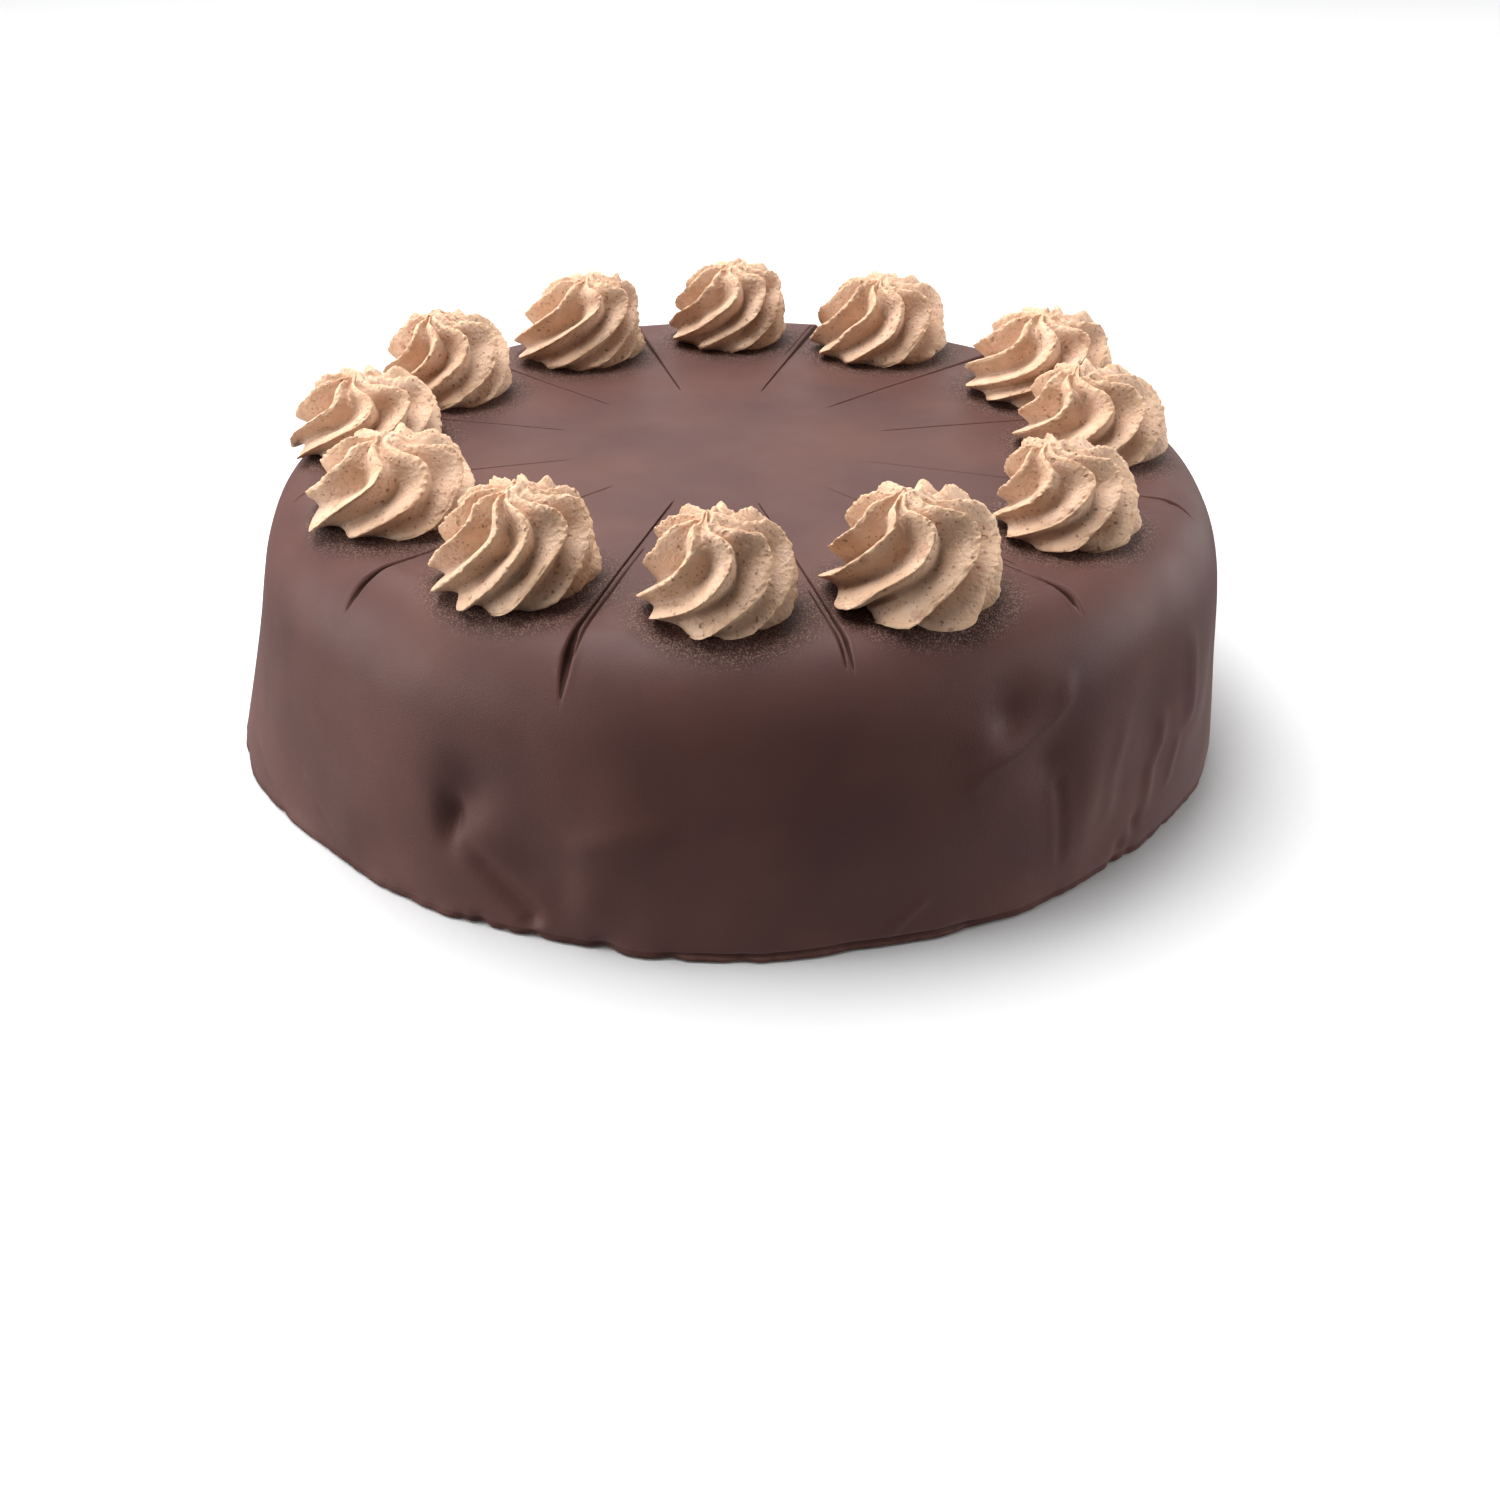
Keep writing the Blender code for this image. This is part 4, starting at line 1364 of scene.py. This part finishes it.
@dataclass(frozen=True)
class CreamFinish:
    """Chestnut cream: soft tan with brown specks, small holes and warm thin edges, with painted shade in
    its valleys and holes.
    """

    pale: Colour = colour(0.68, 0.474, 0.342)
    tan: Colour = colour(0.58, 0.370, 0.246)
    warm: Colour = colour(0.61, 0.391, 0.232)
    # Brown of the specks, and the painted shade of the valleys.
    brown: Colour = colour(0.16, 0.068, 0.040)
    # Russet of the blush, and the painted shade of the holes.
    russet: Colour = colour(0.38, 0.190, 0.125)
    blush: Specks = Specks(250.0, 0.46, 0.10, 0.22, 0.9, 0.50, russet)
    crumbs: Specks = Specks(760.0, 0.34, 0.08, 0.14, 1.0, 0.68, brown)
    pepper: Specks = Specks(1500.0, 0.46, 0.16, 0.2, 0.9, 0.55, brown)
    holes: Specks = Specks(430.0, 0.27, 0.17, 0.16, 0.4, 0.35, russet)
    roughness: float = 0.56
    ior: float = 1.42
    milkiness: float = 0.2  # share of the light that wanders inside, and how far it gets
    wandering: Triple = (0.8, 0.55, 0.35)
    wandering_reach: float = 1.6 * MM

    def make(self, effects: SharedEffects) -> bpy.types.Material:
        """Builds the material.

        Args:
            effects: The shared node groups.

        Returns:
            The material.
        """
        material, bench, shader, where = new_finish("chestnut_cream_piped")
        crest, hollow = (bench.attribute(name) for name in ("crest", "hollow"))
        patch = effects.place(bench, effects.mottle, where, Scale=190.0, Contrast=2.6)
        base = bench.blend(patch, self.pale, self.tan)
        base = bench.blend(bench.ramp(crest, 0.35, 1.0, 0.0, 0.55), base, self.warm)
        # Painted shade: the valleys darkened towards brown.
        base = bench.blend(bench.ramp(hollow, 0.45, 1.0, 0.0, 0.14), base, self.brown)
        for specks in (self.blush, self.crumbs, self.pepper):
            base = bench.stain(base, effects.scatter(bench, where, specks), specks.strength, specks.tint)
        holes = effects.scatter(bench, where, self.holes)
        # Painted shade: the holes darkened, besides their dent in the relief below.
        base = bench.stain(base, holes, self.holes.strength, self.holes.tint)

        fine = effects.place(bench, effects.grain, where, Scale=1100.0, Detail=4.0, Depth=1.1)
        height = bench.maths("SUBTRACT", fine, bench.maths("MULTIPLY", holes, 0.9))
        bench.supply(shader, {"Base Color": base, "Roughness": self.roughness, "IOR": self.ior})
        bench.supply(shader, {"Normal": bench.relief(height, 0.9), "Subsurface Weight": self.milkiness})
        scattered = {"Subsurface Radius": self.wandering, "Subsurface Scale": self.wandering_reach}
        bench.supply(shader, scattered)
        return material


# ---------------------------------------------------------------------------------------------------
# Studio.


@dataclass(frozen=True)
class SoftBox:
    """A soft rectangular light."""

    name: str
    place: Triple
    aim: Triple
    size: tuple[float, float]
    power: float

    def hang(self) -> None:
        """Adds the light to the scene."""
        lamp = bpy.data.lights.new(self.name, "AREA")
        lamp.shape = "RECTANGLE"
        lamp.size, lamp.size_y = self.size
        lamp.energy = self.power
        item = bpy.data.objects.new(self.name, lamp)
        bpy.context.scene.collection.objects.link(item)
        item.location = self.place
        look = Vector(self.aim) - Vector(self.place)
        item.rotation_euler = look.to_track_quat("-Z", "Y").to_euler()
        item.visible_camera = False


@dataclass(frozen=True)
class Studio:
    """A pale floor, soft light from above, behind and both sides, and the camera."""

    floor_size: float = 8.0
    floor_colour: Colour = colour(0.64, 0.64, 0.645)
    floor_roughness: float = 0.75
    surround: Colour = colour(1.0, 1.0, 1.0)
    surround_strength: float = 0.195
    eye: Triple = (2.85 * MM, -471.8 * MM, 254.4 * MM)
    yaw: float = 0.406  # how far it looks to the right, down and over, in degrees
    pitch: float = 29.76
    roll: float = 0.228
    focal_pixels: float = 2016.8
    frame_pixels: float = 1500.0
    sensor: float = 36.0  # mm
    boxes: tuple[SoftBox, ...] = (
        SoftBox("top_light", (-0.34, 0.17, 1.15), (0.0, 0.0, 0.0), (1.4, 0.9), 31.5),
        SoftBox("left_light", (-1.13, -0.17, 0.22), (0.0, 0.0, 0.04), (1.1, 0.46), 13.5),
        SoftBox("right_light", (1.15, 0.16, 0.27), (0.0, 0.0, 0.04), (1.6, 0.52), 13.0),
        SoftBox("low_glow", (0.0, 0.0, 0.002), (0.0, 0.0, 1.0), (0.38, 0.38), 0.16),
        SoftBox("back_wall", (0.0, 1.9, 0.9), (0.0, 0.0, 0.1), (3.4, 1.7), 20.0),
    )

    def floor(self) -> bpy.types.Object:
        """Lays the floor, which isn't part of the object.

        Returns:
            The floor.
        """
        shape = bmesh.new()
        bmesh.ops.create_grid(shape, x_segments=1, y_segments=1, size=self.floor_size / 2.0)
        mesh = bpy.data.meshes.new("studio_floor")
        shape.to_mesh(mesh)
        shape.free()
        material = bpy.data.materials.new("pale_floor")
        material.use_nodes = True
        shader = material.node_tree.nodes["Principled BSDF"]
        shader.inputs["Base Color"].default_value = self.floor_colour
        shader.inputs["Roughness"].default_value = self.floor_roughness
        mesh.materials.append(material)
        item = bpy.data.objects.new("studio_floor", mesh)
        bpy.context.scene.collection.objects.link(item)
        item.visible_diffuse = False
        item.visible_glossy = False
        return item

    def light(self) -> None:
        """Hangs the lights and sets the pale surround."""
        for box in self.boxes:
            box.hang()
        world = bpy.data.worlds.new("studio")
        world.use_nodes = True
        backdrop = world.node_tree.nodes["Background"]
        backdrop.inputs["Color"].default_value = self.surround
        backdrop.inputs["Strength"].default_value = self.surround_strength
        bpy.context.scene.world = world
        bpy.context.scene.view_settings.view_transform = "Standard"

    def camera(self) -> bpy.types.Object:
        """Sets up the camera at the photo's angle.

        Returns:
            The camera.
        """
        yaw, pitch, roll = (math.radians(angle) for angle in (self.yaw, self.pitch, self.roll))
        ahead = math.cos(pitch)
        forward = Vector((math.sin(yaw) * ahead, math.cos(yaw) * ahead, -math.sin(pitch)))
        level = Vector((math.cos(yaw), -math.sin(yaw), 0.0))
        upward = level.cross(forward)
        right = math.cos(roll) * level + math.sin(roll) * upward
        top = -math.sin(roll) * level + math.cos(roll) * upward
        turned = Matrix((right, top, -forward)).transposed().to_4x4()
        lens = bpy.data.cameras.new("camera")
        lens.sensor_width = self.sensor
        lens.lens = self.focal_pixels * self.sensor / self.frame_pixels
        lens.clip_start = 0.01
        item = bpy.data.objects.new("camera", lens)
        bpy.context.scene.collection.objects.link(item)
        item.matrix_world = Matrix.Translation(self.eye) @ turned
        bpy.context.scene.camera = item
        return item


def main() -> None:
    """Builds the coat, the rosettes and the studio, in order."""
    logging.basicConfig(level=logging.INFO, format="%(name)s: %(message)s")
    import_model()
    studio = Studio()
    studio.camera()
    studio.floor()
    studio.light()

    effects = SharedEffects()
    chocolate = ChocolateFinish().make(effects)
    cream = CreamFinish().make(effects)
    coat = ChocolateCoat().build(ROSETTES, chocolate)
    LOG.info("%s: %d faces", coat.name, len(coat.data.polygons))
    for rosette in ROSETTES:
        piece = rosette.build(cream)
        LOG.info("%s: %d faces", piece.name, len(piece.data.polygons))


if __name__ == "__main__":
    main()
